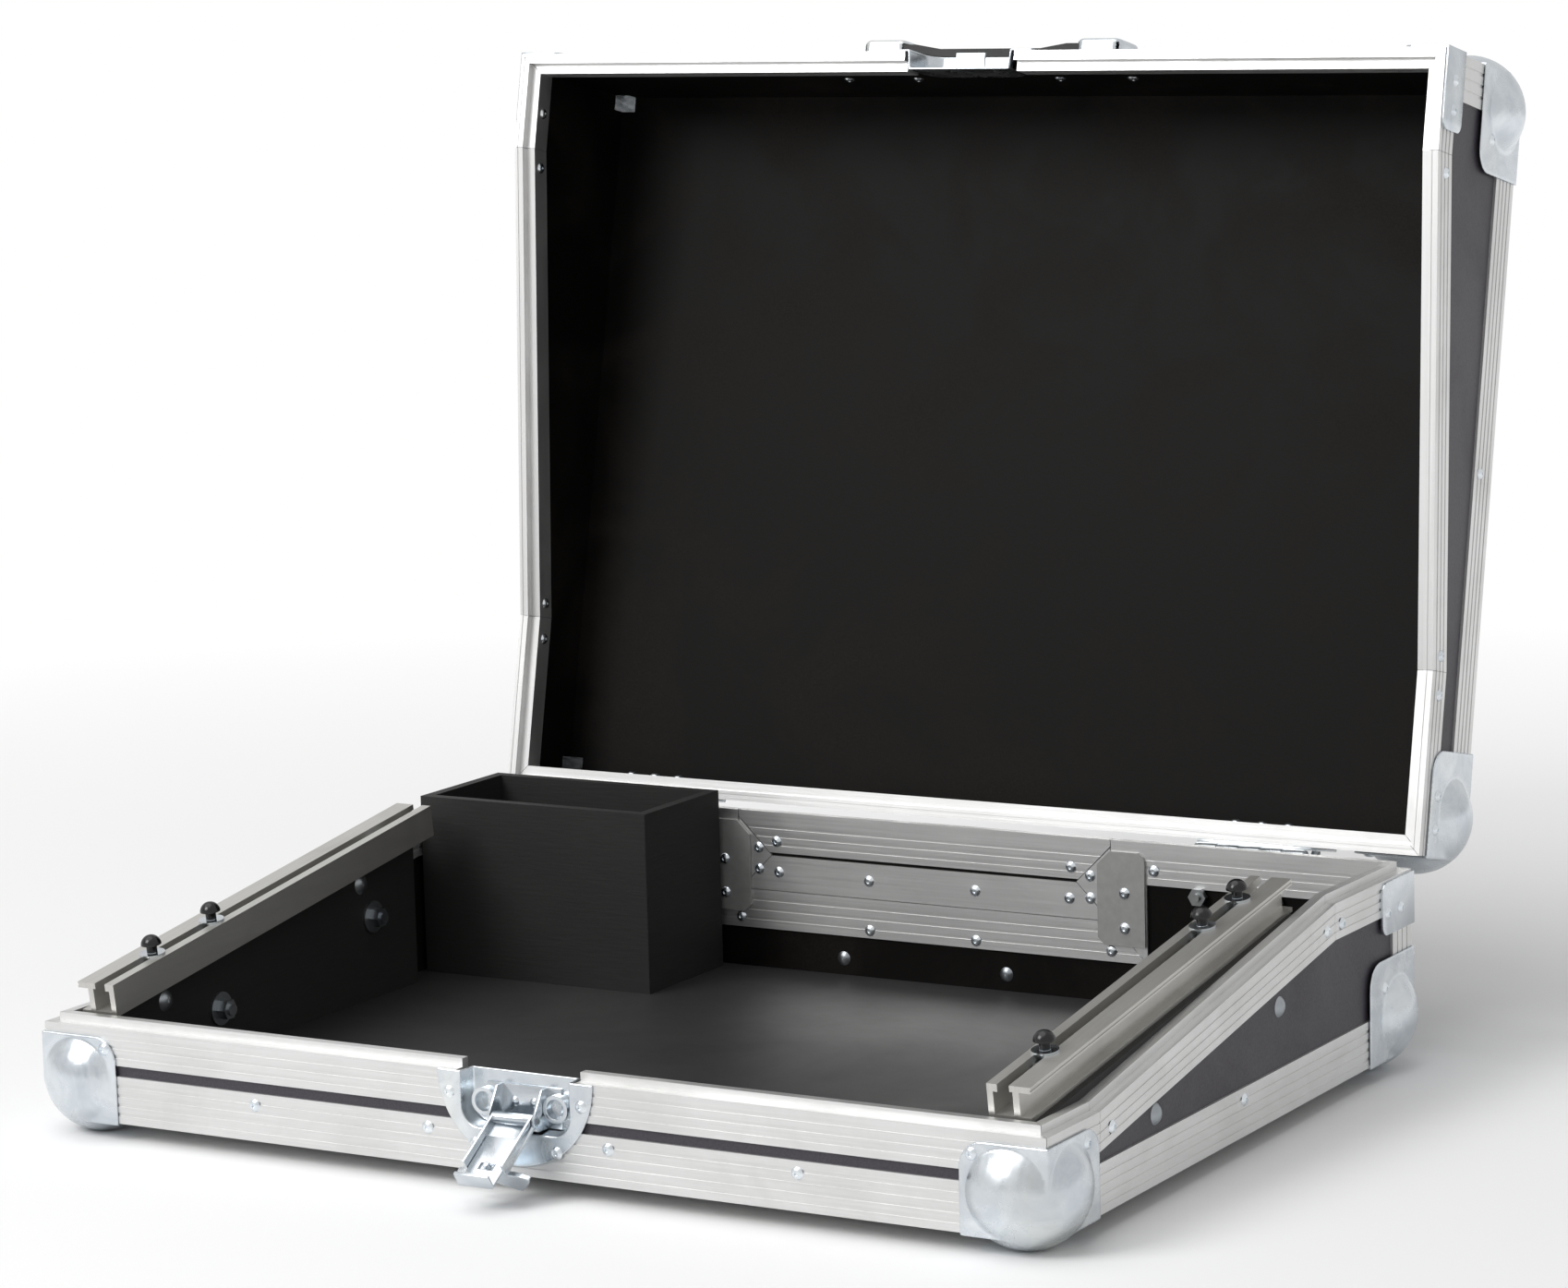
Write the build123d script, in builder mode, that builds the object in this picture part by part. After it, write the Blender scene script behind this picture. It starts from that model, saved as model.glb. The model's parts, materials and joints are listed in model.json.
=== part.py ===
from build123d import *
from math import asin, cos, degrees, radians, sin
import os

# A wedge-shaped flight case for a table-top mixer, shown with its lid open.
# X runs across the case, Y from front to back and Z up. The origin lies on the
# plane that the case stands on, under the middle of the base.

# Overall sizes of the closed case, over the flat walls
case_width = 515.0
case_depth = 378.0
closed_height = 141.0
front_height = 44.0
back_height = 85.0
front_flat = 48.5
back_flat = 88.0
lid_open_angle = 102.0

# Laminated plywood and the aluminium extrusions that grip its edges
panel_thickness = 7.0
skin = 1.25
wall = panel_thickness + 2 * skin
rim_flange = 17.0
lid_inner_flange = 15.5
tongue_setback = 5.0
tongue_height = 3.8
lip_clearance = 0.3
rim_gap = 0.5
edge_flange = 22.0
groove_depth = 0.35
groove_width = 1.5
joint_gap = 0.2

# Pressed steel ball corners
ball_radius = 27.5
ball_inset = 18.5
ball_sheet = 1.2
corner_cut = 16.0
foot_flat = 0.5
ear_across = 40.5
front_ear_depth = 46.0
back_ear_depth = 51.0
front_ear_height = 40.0
back_ear_height = 48.0
ear_round = 12.0

# Corner braces
brace_sheet = 1.2
base_brace_depth = 36.0
base_brace_height = 25.0
lid_brace_depth = 38.0
lid_brace_height = 22.0
brace_round = 5.0
brace_drop = 1.0

# Fasteners
rivet_radius = 2.9
rivet_height = 1.3
bolt_radius = 3.0
bolt_hole_clearance = 0.1
bolt_head_radius = 4.8
bolt_head_height = 2.4
bolt_washer_radius = 8.0
bolt_washer_thickness = 1.2
bolt_nut_radius = 5.0
bolt_nut_height = 5.0
bearer_screw_radius = 5.0
bearer_screw_height = 2.2

underside = ball_radius - ball_inset - foot_flat
front_y = -case_depth / 2
back_y = case_depth / 2
side_x = case_width / 2
inner_x = side_x - wall
top_z = underside + closed_height
floor_z = underside + skin + panel_thickness

# The line where base and lid meet, from front to back, as (y, z)
first_bend_y = front_y + front_flat
second_bend_y = back_y - back_flat
front_rim_z = underside + front_height
back_rim_z = underside + back_height
rim_line = [
    (front_y, front_rim_z),
    (first_bend_y, front_rim_z),
    (second_bend_y, back_rim_z),
    (back_y, back_rim_z),
]
rim_slope = (back_rim_z - front_rim_z) / (second_bend_y - first_bend_y)

base_pieces = {}
lid_pieces = {}


def up_front(height):
    """Height above the underside of the flat walls."""
    return underside + height


def behind(distance):
    """Place in Y at a distance behind the front face."""
    return front_y + distance


def rim_z(y):
    """Height of the meeting line at a place in Y."""
    if y <= first_bend_y:
        return front_rim_z
    if y >= second_bend_y:
        return back_rim_z
    return front_rim_z + (y - first_bend_y) * rim_slope


def bar(face, inward, near, far, low, high, mode=Mode.ADD):
    """Draw a rectangle by its depths behind a wall's outer face and its heights."""
    middle = face + inward * (near + far) / 2
    with Locations((middle, (low + high) / 2)):
        Rectangle(abs(far - near), abs(high - low), mode=mode)


def flange_grooves(face, inward, low, high, count, near=-1.0, far=groove_depth):
    """Cut evenly spaced grooves along the face of a flange."""
    pitch = (high - low) / (count + 1)
    for number in range(1, count + 1):
        middle = low + number * pitch
        bar(face, inward, near, far, middle - groove_width / 2, middle + groove_width / 2, Mode.SUBTRACT)


def base_rim_section(face, inward, shelf, slim=0.0):
    """Section of the base's rim: a channel over the panel with a raised tongue."""
    outer, inner = slim, wall - slim
    bar(face, inward, outer, inner, shelf - rim_flange, shelf)
    bar(face, inward, tongue_setback, inner, shelf, shelf + tongue_height)
    bar(face, inward, skin, wall - skin, shelf - rim_flange, shelf - skin, Mode.SUBTRACT)
    flange_grooves(face, inward, shelf - rim_flange, shelf, 3, -1.0, outer + groove_depth)
    flange_grooves(face, inward, shelf - rim_flange, shelf, 3, inner - groove_depth, wall + 1.0)


lip_width = tongue_setback - lip_clearance
recess_height = tongue_height + 0.4


def lid_rim_section(face, inward, line):
    """Section of the lid's rim: a channel with an outer lip and a recess for the tongue."""
    low = line + rim_gap
    ceiling = low + recess_height
    bar(face, inward, 0, wall, low, low + rim_flange)
    bar(face, inward, lip_width, wall + 1.0, low - 1.0, ceiling, Mode.SUBTRACT)
    bar(face, inward, skin, wall - skin, ceiling + skin, low + rim_flange, Mode.SUBTRACT)
    bar(face, inward, wall - skin, wall, low + lid_inner_flange, low + rim_flange, Mode.SUBTRACT)
    bar(face, inward, lip_width / 3, 2 * lip_width / 3, low - 1.0, low + groove_depth, Mode.SUBTRACT)
    flange_grooves(face, inward, low, low + rim_flange, 3)


def edge_section(face, inward, level, up):
    """Section of an angle extrusion on the outer edge of base or lid."""
    low, high = sorted((level, level + up * edge_flange))
    bar(face, inward, 0, skin, low, high)
    bar(face, inward, 0, edge_flange, level, level + up * skin)
    flange_grooves(face, inward, low, high, 4)


def run(start, finish, draw):
    """Extrude a section along the side wall from one (y, z) point to the next."""
    rise = Vector(0, finish[0] - start[0], finish[1] - start[1])
    with BuildSketch(Plane.XZ.offset(-start[0])) as section:
        draw(start[1])
    extrude(section.sketch, amount=rise.length, dir=rise)


def side_runs(draw):
    """Extrude a section along the three lengths of the bent meeting line."""
    for start, finish in zip(rim_line, rim_line[1:]):
        slope = (finish[1] - start[1]) / (finish[0] - start[0])
        opening = joint_gap / 2 if start[0] > front_y else 0.0
        closing = joint_gap / 2 if finish[0] < back_y else 0.0
        first = (start[0] + opening, start[1] + opening * slope)
        last = (finish[0] - closing, finish[1] - closing * slope)
        run(first, last, draw)


def mitre(right, rear, keep):
    """Cut at 45 degrees on the upright plane through one corner of the case."""
    normal = Vector(right, -rear).normalized()
    shift = joint_gap / 2 if keep is Keep.TOP else -joint_gap / 2
    corner = Vector(right * side_x, rear * case_depth / 2)
    split(bisect_by=Plane(origin=corner + normal * shift, z_dir=normal), keep=keep)


def clear_corners(level):
    """Cut away the tips that would stand out of the ball corners."""
    corners = [(right * side_x, rear * case_depth / 2, level) for right in (-1, 1) for rear in (-1, 1)]
    with Locations(*corners):
        Box(2 * corner_cut, 2 * corner_cut, 2 * corner_cut, mode=Mode.SUBTRACT)


def dome(radius, height):
    """Add a domed head with its flat back on the current plane."""
    ball = (radius**2 + height**2) / (2 * height)
    low = degrees(asin((ball - height) / ball))
    Sphere(ball, arc_size1=low, align=(Align.CENTER, Align.CENTER, Align.MIN))


def heads(points, outward, radius=rivet_radius, height=rivet_height):
    """Add a domed head at each point, standing out of the surface there."""
    with Locations(*[Plane(origin=point, z_dir=outward) for point in points]):
        dome(radius, height)


outward_front = (0, -1, 0)
outward_back = (0, 1, 0)
on_plane = (Align.CENTER, Align.CENTER, Align.MIN)
bolt_points = [(behind(230.5), up_front(49.5)), (behind(103.5), up_front(30.0))]

# Cable flap and the cut-out that it lifts out of
flap_half_width = 104.5
flap_sill = 48.3
flap_side_gap = 0.5
flap_slim = 0.2
flap_seat = 0.3
flap_bottom_flange = 17.5
sill_flange = 19.8
jamb_flange = 19.0
strap_sheet = 1.5
strap_inner_edge = 98.0
strap_outer_edge = 123.5
strap_low = 37.0
strap_high = 83.5
strap_chamfer = 7.0
opening_half_width = flap_half_width + flap_side_gap
sill_z = up_front(flap_sill)

# Latch dish, the same half disc on base and lid
dish_radius = 40.0
dish_sheet = 1.0
recess_half_width = 28.0
recess_depth = 8.2
recess_drop = 24.5
recess_round = 9.0
recess_taper = 6.0
dish_notch = 30.5
dish_hole_clearance = 0.4



def dish_hole(line):
    """Cut the opening in the front wall that the pan of a latch dish drops into."""
    with Locations((0, front_y, line)):
        half_width = recess_half_width + dish_sheet + dish_hole_clearance
        drop = recess_drop + dish_sheet + dish_hole_clearance
        Box(2 * half_width, 4 * wall, 2 * drop, mode=Mode.SUBTRACT)


# Base panels

with BuildPart() as base_floor:
    with BuildSketch(Plane.XY.offset(underside + skin)):
        Rectangle(case_width - 2 * skin, case_depth - 2 * skin)
    extrude(amount=panel_thickness)
    clear_corners(underside)
base_pieces["base_floor"] = base_floor

for right, label in ((-1, "base_left_panel"), (1, "base_right_panel")):
    with BuildPart() as base_side_panel:
        with BuildSketch(Plane.YZ.offset(right * (side_x - skin - panel_thickness / 2))):
            with BuildLine():
                outline = [(y, z - skin) for y, z in rim_line]
                outline[0] = (front_y + skin, outline[0][1])
                outline[-1] = (back_y - skin, outline[-1][1])
                Polyline(*outline, (back_y - skin, floor_z), (front_y + skin, floor_z), close=True)
            make_face()
            with Locations(*bolt_points):
                Circle(bolt_radius + bolt_hole_clearance, mode=Mode.SUBTRACT)
        extrude(amount=panel_thickness / 2, both=True)
        clear_corners(underside)
    base_pieces[label] = base_side_panel

panel_half_width = side_x - skin - panel_thickness
with BuildPart() as base_front_panel:
    with BuildSketch(Plane.YZ):
        bar(front_y, 1, skin, skin + panel_thickness, floor_z, front_rim_z - skin)
    extrude(amount=panel_half_width, both=True)
    dish_hole(front_rim_z)
base_pieces["base_front_panel"] = base_front_panel

with BuildPart() as base_back_panel:
    with BuildSketch(Plane.YZ):
        bar(back_y, -1, skin, skin + panel_thickness, floor_z, back_rim_z - skin)
    extrude(amount=panel_half_width, both=True)
    with BuildSketch(Plane.XZ.offset(-back_y)):
        with Locations((0, sill_z - skin)):
            Rectangle(2 * (opening_half_width + skin), case_depth, align=(Align.CENTER, Align.MIN))
    extrude(amount=2 * wall, mode=Mode.SUBTRACT)
base_pieces["base_back_panel"] = base_back_panel

# Base rim extrusions, mitred at the four corners

with BuildPart() as base_rim_front:
    with BuildSketch(Plane.YZ):
        base_rim_section(front_y, 1, front_rim_z)
    extrude(amount=side_x, both=True)
    mitre(-1, -1, Keep.BOTTOM)
    mitre(1, -1, Keep.BOTTOM)
    with Locations((0, front_y, front_rim_z)):
        Box(2 * dish_notch, 4 * wall, 4 * rim_flange, mode=Mode.SUBTRACT)
base_pieces["base_rim_front"] = base_rim_front

with BuildPart() as base_rim_sides:
    side_runs(lambda shelf: base_rim_section(side_x, -1, shelf))
    mitre(1, -1, Keep.TOP)
    mitre(1, 1, Keep.TOP)
    mirror(about=Plane.YZ)
base_pieces["base_rim_sides"] = base_rim_sides

with BuildPart() as base_rim_back:
    with BuildSketch(Plane.YZ):
        base_rim_section(back_y, -1, back_rim_z)
    extrude(amount=side_x, both=True)
    mitre(-1, 1, Keep.BOTTOM)
    mitre(1, 1, Keep.BOTTOM)
    with Locations((0, back_y, back_rim_z)):
        Box(2 * opening_half_width, 4 * wall, 4 * rim_flange, mode=Mode.SUBTRACT)
base_pieces["base_rim_back"] = base_rim_back


def edge_bars_across(level, up):
    """Make the front and back angle extrusions, mitred and short of the ball corners."""
    with BuildSketch(Plane.YZ) as section:
        edge_section(front_y, 1, level, up)
    extrude(section.sketch, amount=side_x, both=True)
    mitre(-1, -1, Keep.BOTTOM)
    mitre(1, -1, Keep.BOTTOM)
    mirror(about=Plane.XZ)
    clear_corners(level)


def edge_bars_along(level, up):
    """Make the two side angle extrusions, mitred and short of the ball corners."""
    with BuildSketch(Plane.XZ) as section:
        edge_section(side_x, -1, level, up)
    extrude(section.sketch, amount=case_depth / 2, both=True)
    mitre(1, -1, Keep.TOP)
    mitre(1, 1, Keep.TOP)
    mirror(about=Plane.YZ)
    clear_corners(level)


with BuildPart() as base_edges_across:
    edge_bars_across(underside, 1)
    dish_hole(front_rim_z)
base_pieces["base_edges_across"] = base_edges_across

with BuildPart() as base_edges_along:
    edge_bars_along(underside, 1)
base_pieces["base_edges_along"] = base_edges_along


def post(rear, low, high):
    """Add the right-hand upright angle between an edge bar and a rim flange."""
    with BuildSketch(Plane.XY.offset(low)) as section:
        middle = rear * (case_depth / 2 - edge_flange / 2)
        with Locations((side_x - edge_flange / 2, middle)):
            Rectangle(edge_flange, edge_flange)
        inset = rear * (case_depth / 2 - skin - edge_flange / 2)
        with Locations((side_x - skin - edge_flange / 2, inset)):
            Rectangle(edge_flange, edge_flange, mode=Mode.SUBTRACT)
        for number in range(1, 4):
            place = edge_flange - number * edge_flange / 4
            with Locations((side_x, rear * (case_depth / 2 - place))):
                Rectangle(2 * groove_depth, groove_width, mode=Mode.SUBTRACT)
            with Locations((side_x - place, rear * case_depth / 2)):
                Rectangle(groove_width, 2 * groove_depth, mode=Mode.SUBTRACT)
    extrude(section.sketch, amount=high - low)


with BuildPart() as base_posts:
    post(1, underside + edge_flange + joint_gap, back_rim_z - rim_flange - joint_gap)
    mirror(about=Plane.YZ)
base_pieces["base_posts"] = base_posts

# Edging of the cable cut-out: a sill and two jambs, mitred where they meet

sill_low = sill_z - sill_flange
jamb_far = opening_half_width + jamb_flange
with BuildPart() as cutout_sill:
    with BuildSketch(Plane.YZ):
        bar(back_y, -1, 0, wall, sill_low, sill_z)
        bar(back_y, -1, skin, wall - skin, sill_low, sill_z - skin, Mode.SUBTRACT)
        flange_grooves(back_y, -1, sill_low, sill_z, 3)
        flange_grooves(back_y, -1, sill_low, sill_z, 3, wall - groove_depth, wall + 1.0)
    extrude(amount=jamb_far, both=True)
    for right in (-1, 1):
        corner = Vector(right * opening_half_width, back_y, sill_z)
        slant = Vector(right * sill_flange, 0, jamb_flange).normalized()
        split(bisect_by=Plane(origin=corner - slant * joint_gap / 2, z_dir=slant), keep=Keep.BOTTOM)
base_pieces["cutout_sill"] = cutout_sill

with BuildPart() as cutout_jambs:
    with BuildSketch(Plane.XY.offset(sill_low)):
        with Locations((opening_half_width + jamb_flange / 2, back_y - wall / 2)):
            Rectangle(jamb_flange, wall)
        with Locations((opening_half_width + skin + jamb_flange / 2, back_y - wall / 2)):
            Rectangle(jamb_flange, panel_thickness, mode=Mode.SUBTRACT)
    extrude(amount=back_rim_z - rim_flange - joint_gap - sill_low)
    corner = Vector(opening_half_width, back_y, sill_z)
    slant = Vector(sill_flange, 0, jamb_flange).normalized()
    split(bisect_by=Plane(origin=corner + slant * joint_gap / 2, z_dir=slant), keep=Keep.TOP)
    mirror(about=Plane.YZ)
base_pieces["cutout_jambs"] = cutout_jambs


def strap_plate(near_y):
    """Add the right-hand guide plate that overlaps one end of the flap."""
    with BuildSketch(Plane.XZ.offset(-near_y)) as outline:
        with BuildLine():
            Polyline(
                (strap_inner_edge, up_front(strap_low) + strap_chamfer / 2),
                (strap_inner_edge + strap_chamfer / 2, up_front(strap_low)),
                (strap_outer_edge, up_front(strap_low)),
                (strap_outer_edge, up_front(strap_high) - strap_chamfer / 2),
                (strap_outer_edge - strap_chamfer / 2, up_front(strap_high)),
                (strap_inner_edge + strap_chamfer, up_front(strap_high)),
                (strap_inner_edge, up_front(strap_high) - strap_chamfer),
                close=True,
            )
        make_face()
    extrude(outline.sketch, amount=-strap_sheet)


with BuildPart() as cutout_straps:
    strap_plate(back_y - wall - strap_sheet)
    strap_plate(back_y)
    mirror(about=Plane.YZ)
base_pieces["cutout_straps"] = cutout_straps

# Ball corners: a pressed dome over the tip with a flat ear on each face


def corner_dome(rear, level, up):
    """Add the right-hand dome at one corner, open where the walls run into it."""
    corner = (side_x, rear * case_depth / 2, level)
    inward = (-1, -rear, up)
    # the sphere's poles and seam are turned into the part that is cut away
    middle = Vector(*corner) + Vector(*inward) * ball_inset
    pole = Vector(0.66, -0.66 * rear, -0.36 * up)
    seam = Vector(*inward) - pole * Vector(*inward).dot(pole)
    with Locations(Plane(origin=middle, x_dir=seam, z_dir=pole)):
        Sphere(ball_radius)
        Sphere(ball_radius - ball_sheet, mode=Mode.SUBTRACT)
    reach = 3 * ball_radius
    for axis in range(3):
        block = [at + way * reach / 2 for at, way in zip(corner, inward)]
        block[axis] = corner[axis] + inward[axis] * (corner_cut + reach / 2)
        with Locations(tuple(block)):
            Box(reach, reach, reach, mode=Mode.SUBTRACT)


def ear(plane, corner, inward, size, thickness):
    """Add one flat ear on a face, rounded at its far corner and clear of the dome."""
    across, along = inward
    inside = ((ball_radius - ball_sheet) ** 2 - ball_inset**2) ** 0.5
    outside = (ball_radius**2 - (ball_inset + ball_sheet) ** 2) ** 0.5
    with BuildSketch(plane) as face:
        middle = [at + way * (reach - ball_sheet) / 2 for at, way, reach in zip(corner, inward, size)]
        with Locations(tuple(middle)):
            Rectangle(size[0] + ball_sheet, size[1] + ball_sheet)
        far = face.vertices().group_by(Axis.X)[0 if across < 0 else -1].sort_by(Axis.Y)
        fillet(far[0 if along < 0 else -1], radius=ear_round)
        with Locations((corner[0] + across * ball_inset, corner[1] + along * ball_inset)):
            Circle((inside + outside) / 2, mode=Mode.SUBTRACT)
        with Locations(corner):
            Rectangle(2 * corner_cut, 2 * corner_cut, mode=Mode.SUBTRACT)
    extrude(face.sketch, amount=thickness)


def ball_corner(rear, level, up, ear_depth, ear_height):
    """Add a right-hand ball corner at the front or back of one level."""
    corner_dome(rear, level, up)
    face_y = rear * case_depth / 2
    ear(Plane.XZ.offset(-face_y), (side_x, level), (-1, up), (ear_across, ear_height), -rear * ball_sheet)
    ear(Plane.YZ.offset(side_x), (face_y, level), (-rear, up), (ear_depth, ear_height), ball_sheet)
    ear(Plane.XY.offset(level), (side_x, face_y), (-1, -rear), (ear_across, ear_depth), -up * ball_sheet)


with BuildPart() as base_ball_corners:
    ball_corner(-1, underside, 1, front_ear_depth, front_ear_height)
    ball_corner(1, underside, 1, back_ear_depth, back_ear_height)
    mirror(about=Plane.YZ)
    Box(2 * case_width, 2 * case_depth, underside, align=(Align.CENTER, Align.CENTER, Align.MAX),
        mode=Mode.SUBTRACT)
base_pieces["base_ball_corners"] = base_ball_corners

with BuildPart() as lid_ball_corners:
    ball_corner(-1, top_z, -1, back_ear_depth, back_ear_height)
    ball_corner(1, top_z, -1, back_ear_depth, back_ear_height)
    mirror(about=Plane.YZ)
lid_pieces["lid_ball_corners"] = lid_ball_corners


def brace(rear, low, high, depth, across):
    """Add a right-hand corner brace, bent round the corner from side to end."""
    face_y = rear * case_depth / 2
    with BuildSketch(Plane.XY.offset(low)) as section:
        with Locations((side_x - across / 2, face_y - rear * depth / 2)):
            Rectangle(across + 2 * brace_sheet, depth + 2 * brace_sheet)
        with Locations((side_x - case_width / 2, face_y - rear * case_depth / 2)):
            Rectangle(case_width, case_depth, mode=Mode.SUBTRACT)
        with Locations((side_x - across - case_width / 2, face_y)):
            Rectangle(case_width, 4 * depth, mode=Mode.SUBTRACT)
        with Locations((side_x, face_y - rear * (depth + case_depth / 2))):
            Rectangle(4 * across, case_depth, mode=Mode.SUBTRACT)
    bent = extrude(section.sketch, amount=high - low)
    far = bent.edges().filter_by(Axis.X).group_by(Axis.Y)[0 if rear > 0 else -1]
    near = bent.edges().filter_by(Axis.Y).group_by(Axis.X)[0]
    fillet(list(far) + list(near), radius=brace_round)


with BuildPart() as base_braces:
    brace_top = back_rim_z - brace_drop
    brace(1, brace_top - base_brace_height, brace_top, base_brace_depth, edge_flange)
    mirror(about=Plane.YZ)
base_pieces["base_braces"] = base_braces

with BuildPart() as lid_braces:
    brace_low = front_rim_z + rim_gap + brace_drop
    brace(-1, brace_low, brace_low + lid_brace_height, lid_brace_depth, edge_flange)
    mirror(about=Plane.YZ)
lid_pieces["lid_braces"] = lid_braces

# Lid panels, posts and extrusions, drawn with the lid closed

slot_rise = rim_gap + recess_height + skin
lid_panel_top = top_z - skin - panel_thickness
lid_lift = rim_gap + rim_flange + joint_gap

with BuildPart() as lid_top_panel:
    with BuildSketch(Plane.XY.offset(lid_panel_top)):
        Rectangle(case_width - 2 * skin, case_depth - 2 * skin)
    extrude(amount=panel_thickness)
    clear_corners(top_z)
lid_pieces["lid_top_panel"] = lid_top_panel

for right, label in ((-1, "lid_left_panel"), (1, "lid_right_panel")):
    with BuildPart() as lid_side_panel:
        with BuildSketch(Plane.YZ.offset(right * (side_x - skin - panel_thickness / 2))):
            with BuildLine():
                outline = [(y, z + slot_rise) for y, z in rim_line]
                outline[0] = (front_y + skin, outline[0][1])
                outline[-1] = (back_y - skin, outline[-1][1])
                corners = [(back_y - skin, lid_panel_top), (front_y + skin, lid_panel_top)]
                Polyline(*outline, *corners, close=True)
            make_face()
        extrude(amount=panel_thickness / 2, both=True)
        clear_corners(top_z)
    lid_pieces[label] = lid_side_panel

with BuildPart() as lid_front_panel:
    with BuildSketch(Plane.YZ):
        bar(front_y, 1, skin, skin + panel_thickness, front_rim_z + slot_rise, lid_panel_top)
    extrude(amount=panel_half_width, both=True)
    dish_hole(front_rim_z + rim_gap)
    clear_corners(top_z)
lid_pieces["lid_front_panel"] = lid_front_panel

with BuildPart() as lid_back_panel:
    with BuildSketch(Plane.YZ):
        bar(back_y, -1, skin, skin + panel_thickness, back_rim_z + slot_rise, lid_panel_top)
    extrude(amount=panel_half_width, both=True)
    clear_corners(top_z)
lid_pieces["lid_back_panel"] = lid_back_panel

with BuildPart() as lid_rim_front:
    with BuildSketch(Plane.YZ):
        lid_rim_section(front_y, 1, front_rim_z)
    extrude(amount=side_x, both=True)
    mitre(-1, -1, Keep.BOTTOM)
    mitre(1, -1, Keep.BOTTOM)
    with Locations((0, front_y, front_rim_z)):
        Box(2 * dish_notch, 4 * wall, 4 * rim_flange, mode=Mode.SUBTRACT)
lid_pieces["lid_rim_front"] = lid_rim_front

with BuildPart() as lid_rim_back:
    with BuildSketch(Plane.YZ):
        lid_rim_section(back_y, -1, back_rim_z)
    extrude(amount=side_x, both=True)
    mitre(-1, 1, Keep.BOTTOM)
    mitre(1, 1, Keep.BOTTOM)
lid_pieces["lid_rim_back"] = lid_rim_back

with BuildPart() as lid_rim_sides:
    side_runs(lambda line: lid_rim_section(side_x, -1, line))
    mitre(1, -1, Keep.TOP)
    mitre(1, 1, Keep.TOP)
    mirror(about=Plane.YZ)
lid_pieces["lid_rim_sides"] = lid_rim_sides

with BuildPart() as lid_edges_across:
    edge_bars_across(top_z, -1)
lid_pieces["lid_edges_across"] = lid_edges_across

with BuildPart() as lid_edges_along:
    edge_bars_along(top_z, -1)
lid_pieces["lid_edges_along"] = lid_edges_along

with BuildPart() as lid_posts:
    post(-1, front_rim_z + lid_lift, top_z - edge_flange - joint_gap)
    post(1, back_rim_z + lid_lift, top_z - edge_flange - joint_gap)
    mirror(about=Plane.YZ)
lid_pieces["lid_posts"] = lid_posts

# Butterfly latch: a pressed dish in two halves, a hinged arm, its wing and hook

latch_pin_radius = 1.3
running_clearance = 0.06
latch_pin_y = front_y - 2.0
latch_pin_z = up_front(25.6)
bracket_half_width = 19.0
bracket_sheet = 1.2
bracket_top = 38.5
bracket_low = 20.7
cheek_near = 10.9
cheek_far = 12.1
eyelet_x = 18.5
eyelet_z = 30.5
eyelet_outer = 6.2
eyelet_inner = 4.4
eyelet_rise = 4.5
cheek_outline = [(2.5, bracket_top), (-4.5, 27.0), (-4.5, 23.5), (-1.0, 22.0), (-1.0, bracket_low)]
bracket_shelf_front = -0.6
bracket_rivet_x = 5.0
bracket_rivet_z = 31.0
pin_overhang = 0.5
latch_swing = 123.0
arm_half_width = 10.4
arm_length = 29.0
arm_near = 3.6
arm_sheet = 1.2
arm_flange_past_pin = 2.5
barrel_radius = 2.6
wing_height = 25.0
wing_stem_radius = 2.5
crank_radius = 1.5
crank_offset = 2.0
wing_outline = [(0, 2.0), (7.0, 2.4), (14.5, 3.0), (18.6, 4.2), (18.0, 5.9), (15.8, 9.0), (12.4, 12.2),
                (7.5, 11.2), (0, 9.0)]
wing_thickness = 2.6
hook_half_width = 8.8
hook_sheet = 1.2
hook_slot_half_height = 2.05
hook_slot_play = 0.3
hook_start = 10.0
hook_end = 38.4
hook_lip = 1.5
hook_lip_depth = 3.0
stack_gap = 0.05
wing_stem_reach = 4.0
crank_overhang = 1.6
keeper_half_width = 8.0
keeper_low = 56.5
keeper_high = 58.0
keeper_front = -1.0
keeper_rivet_gap = 2.0


def pan(line, extra, mode):
    """Add or cut the tapered recess of a latch dish, on both sides of the meeting line."""
    into_wall = Plane(origin=(0, front_y, 0), x_dir=(1, 0, 0), z_dir=(0, 1, 0))
    with BuildSketch(into_wall) as mouth:
        with Locations((0, -line)):
            wide, tall = recess_half_width + extra, recess_drop + extra
            RectangleRounded(2 * wide, 2 * tall, recess_round + extra)
    extrude(mouth.sketch, amount=recess_depth + extra, taper=recess_taper, mode=mode)
    if mode is Mode.SUBTRACT:
        extrude(mouth.sketch, amount=-2 * dish_sheet, mode=mode)


def latch_dish(line, up):
    """Add one half of the dish, with a flat round flange on the face of the case."""
    with BuildSketch(Plane.XZ.offset(-front_y)) as flange:
        with Locations((0, line)):
            Circle(dish_radius)
    extrude(flange.sketch, amount=dish_sheet)
    pan(line, dish_sheet, Mode.ADD)
    pan(line, 0, Mode.SUBTRACT)
    side = Align.MAX if up > 0 else Align.MIN
    with Locations((0, front_y, line)):
        Box(4 * dish_radius, 4 * wall, 2 * dish_radius, align=(Align.CENTER, Align.CENTER, side),
            mode=Mode.SUBTRACT)


with BuildPart() as base_latch_dish:
    latch_dish(front_rim_z, -1)
base_pieces["base_latch_dish"] = base_latch_dish

with BuildPart() as lid_latch_dish:
    latch_dish(front_rim_z + rim_gap, 1)
lid_pieces["lid_latch_dish"] = lid_latch_dish

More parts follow.
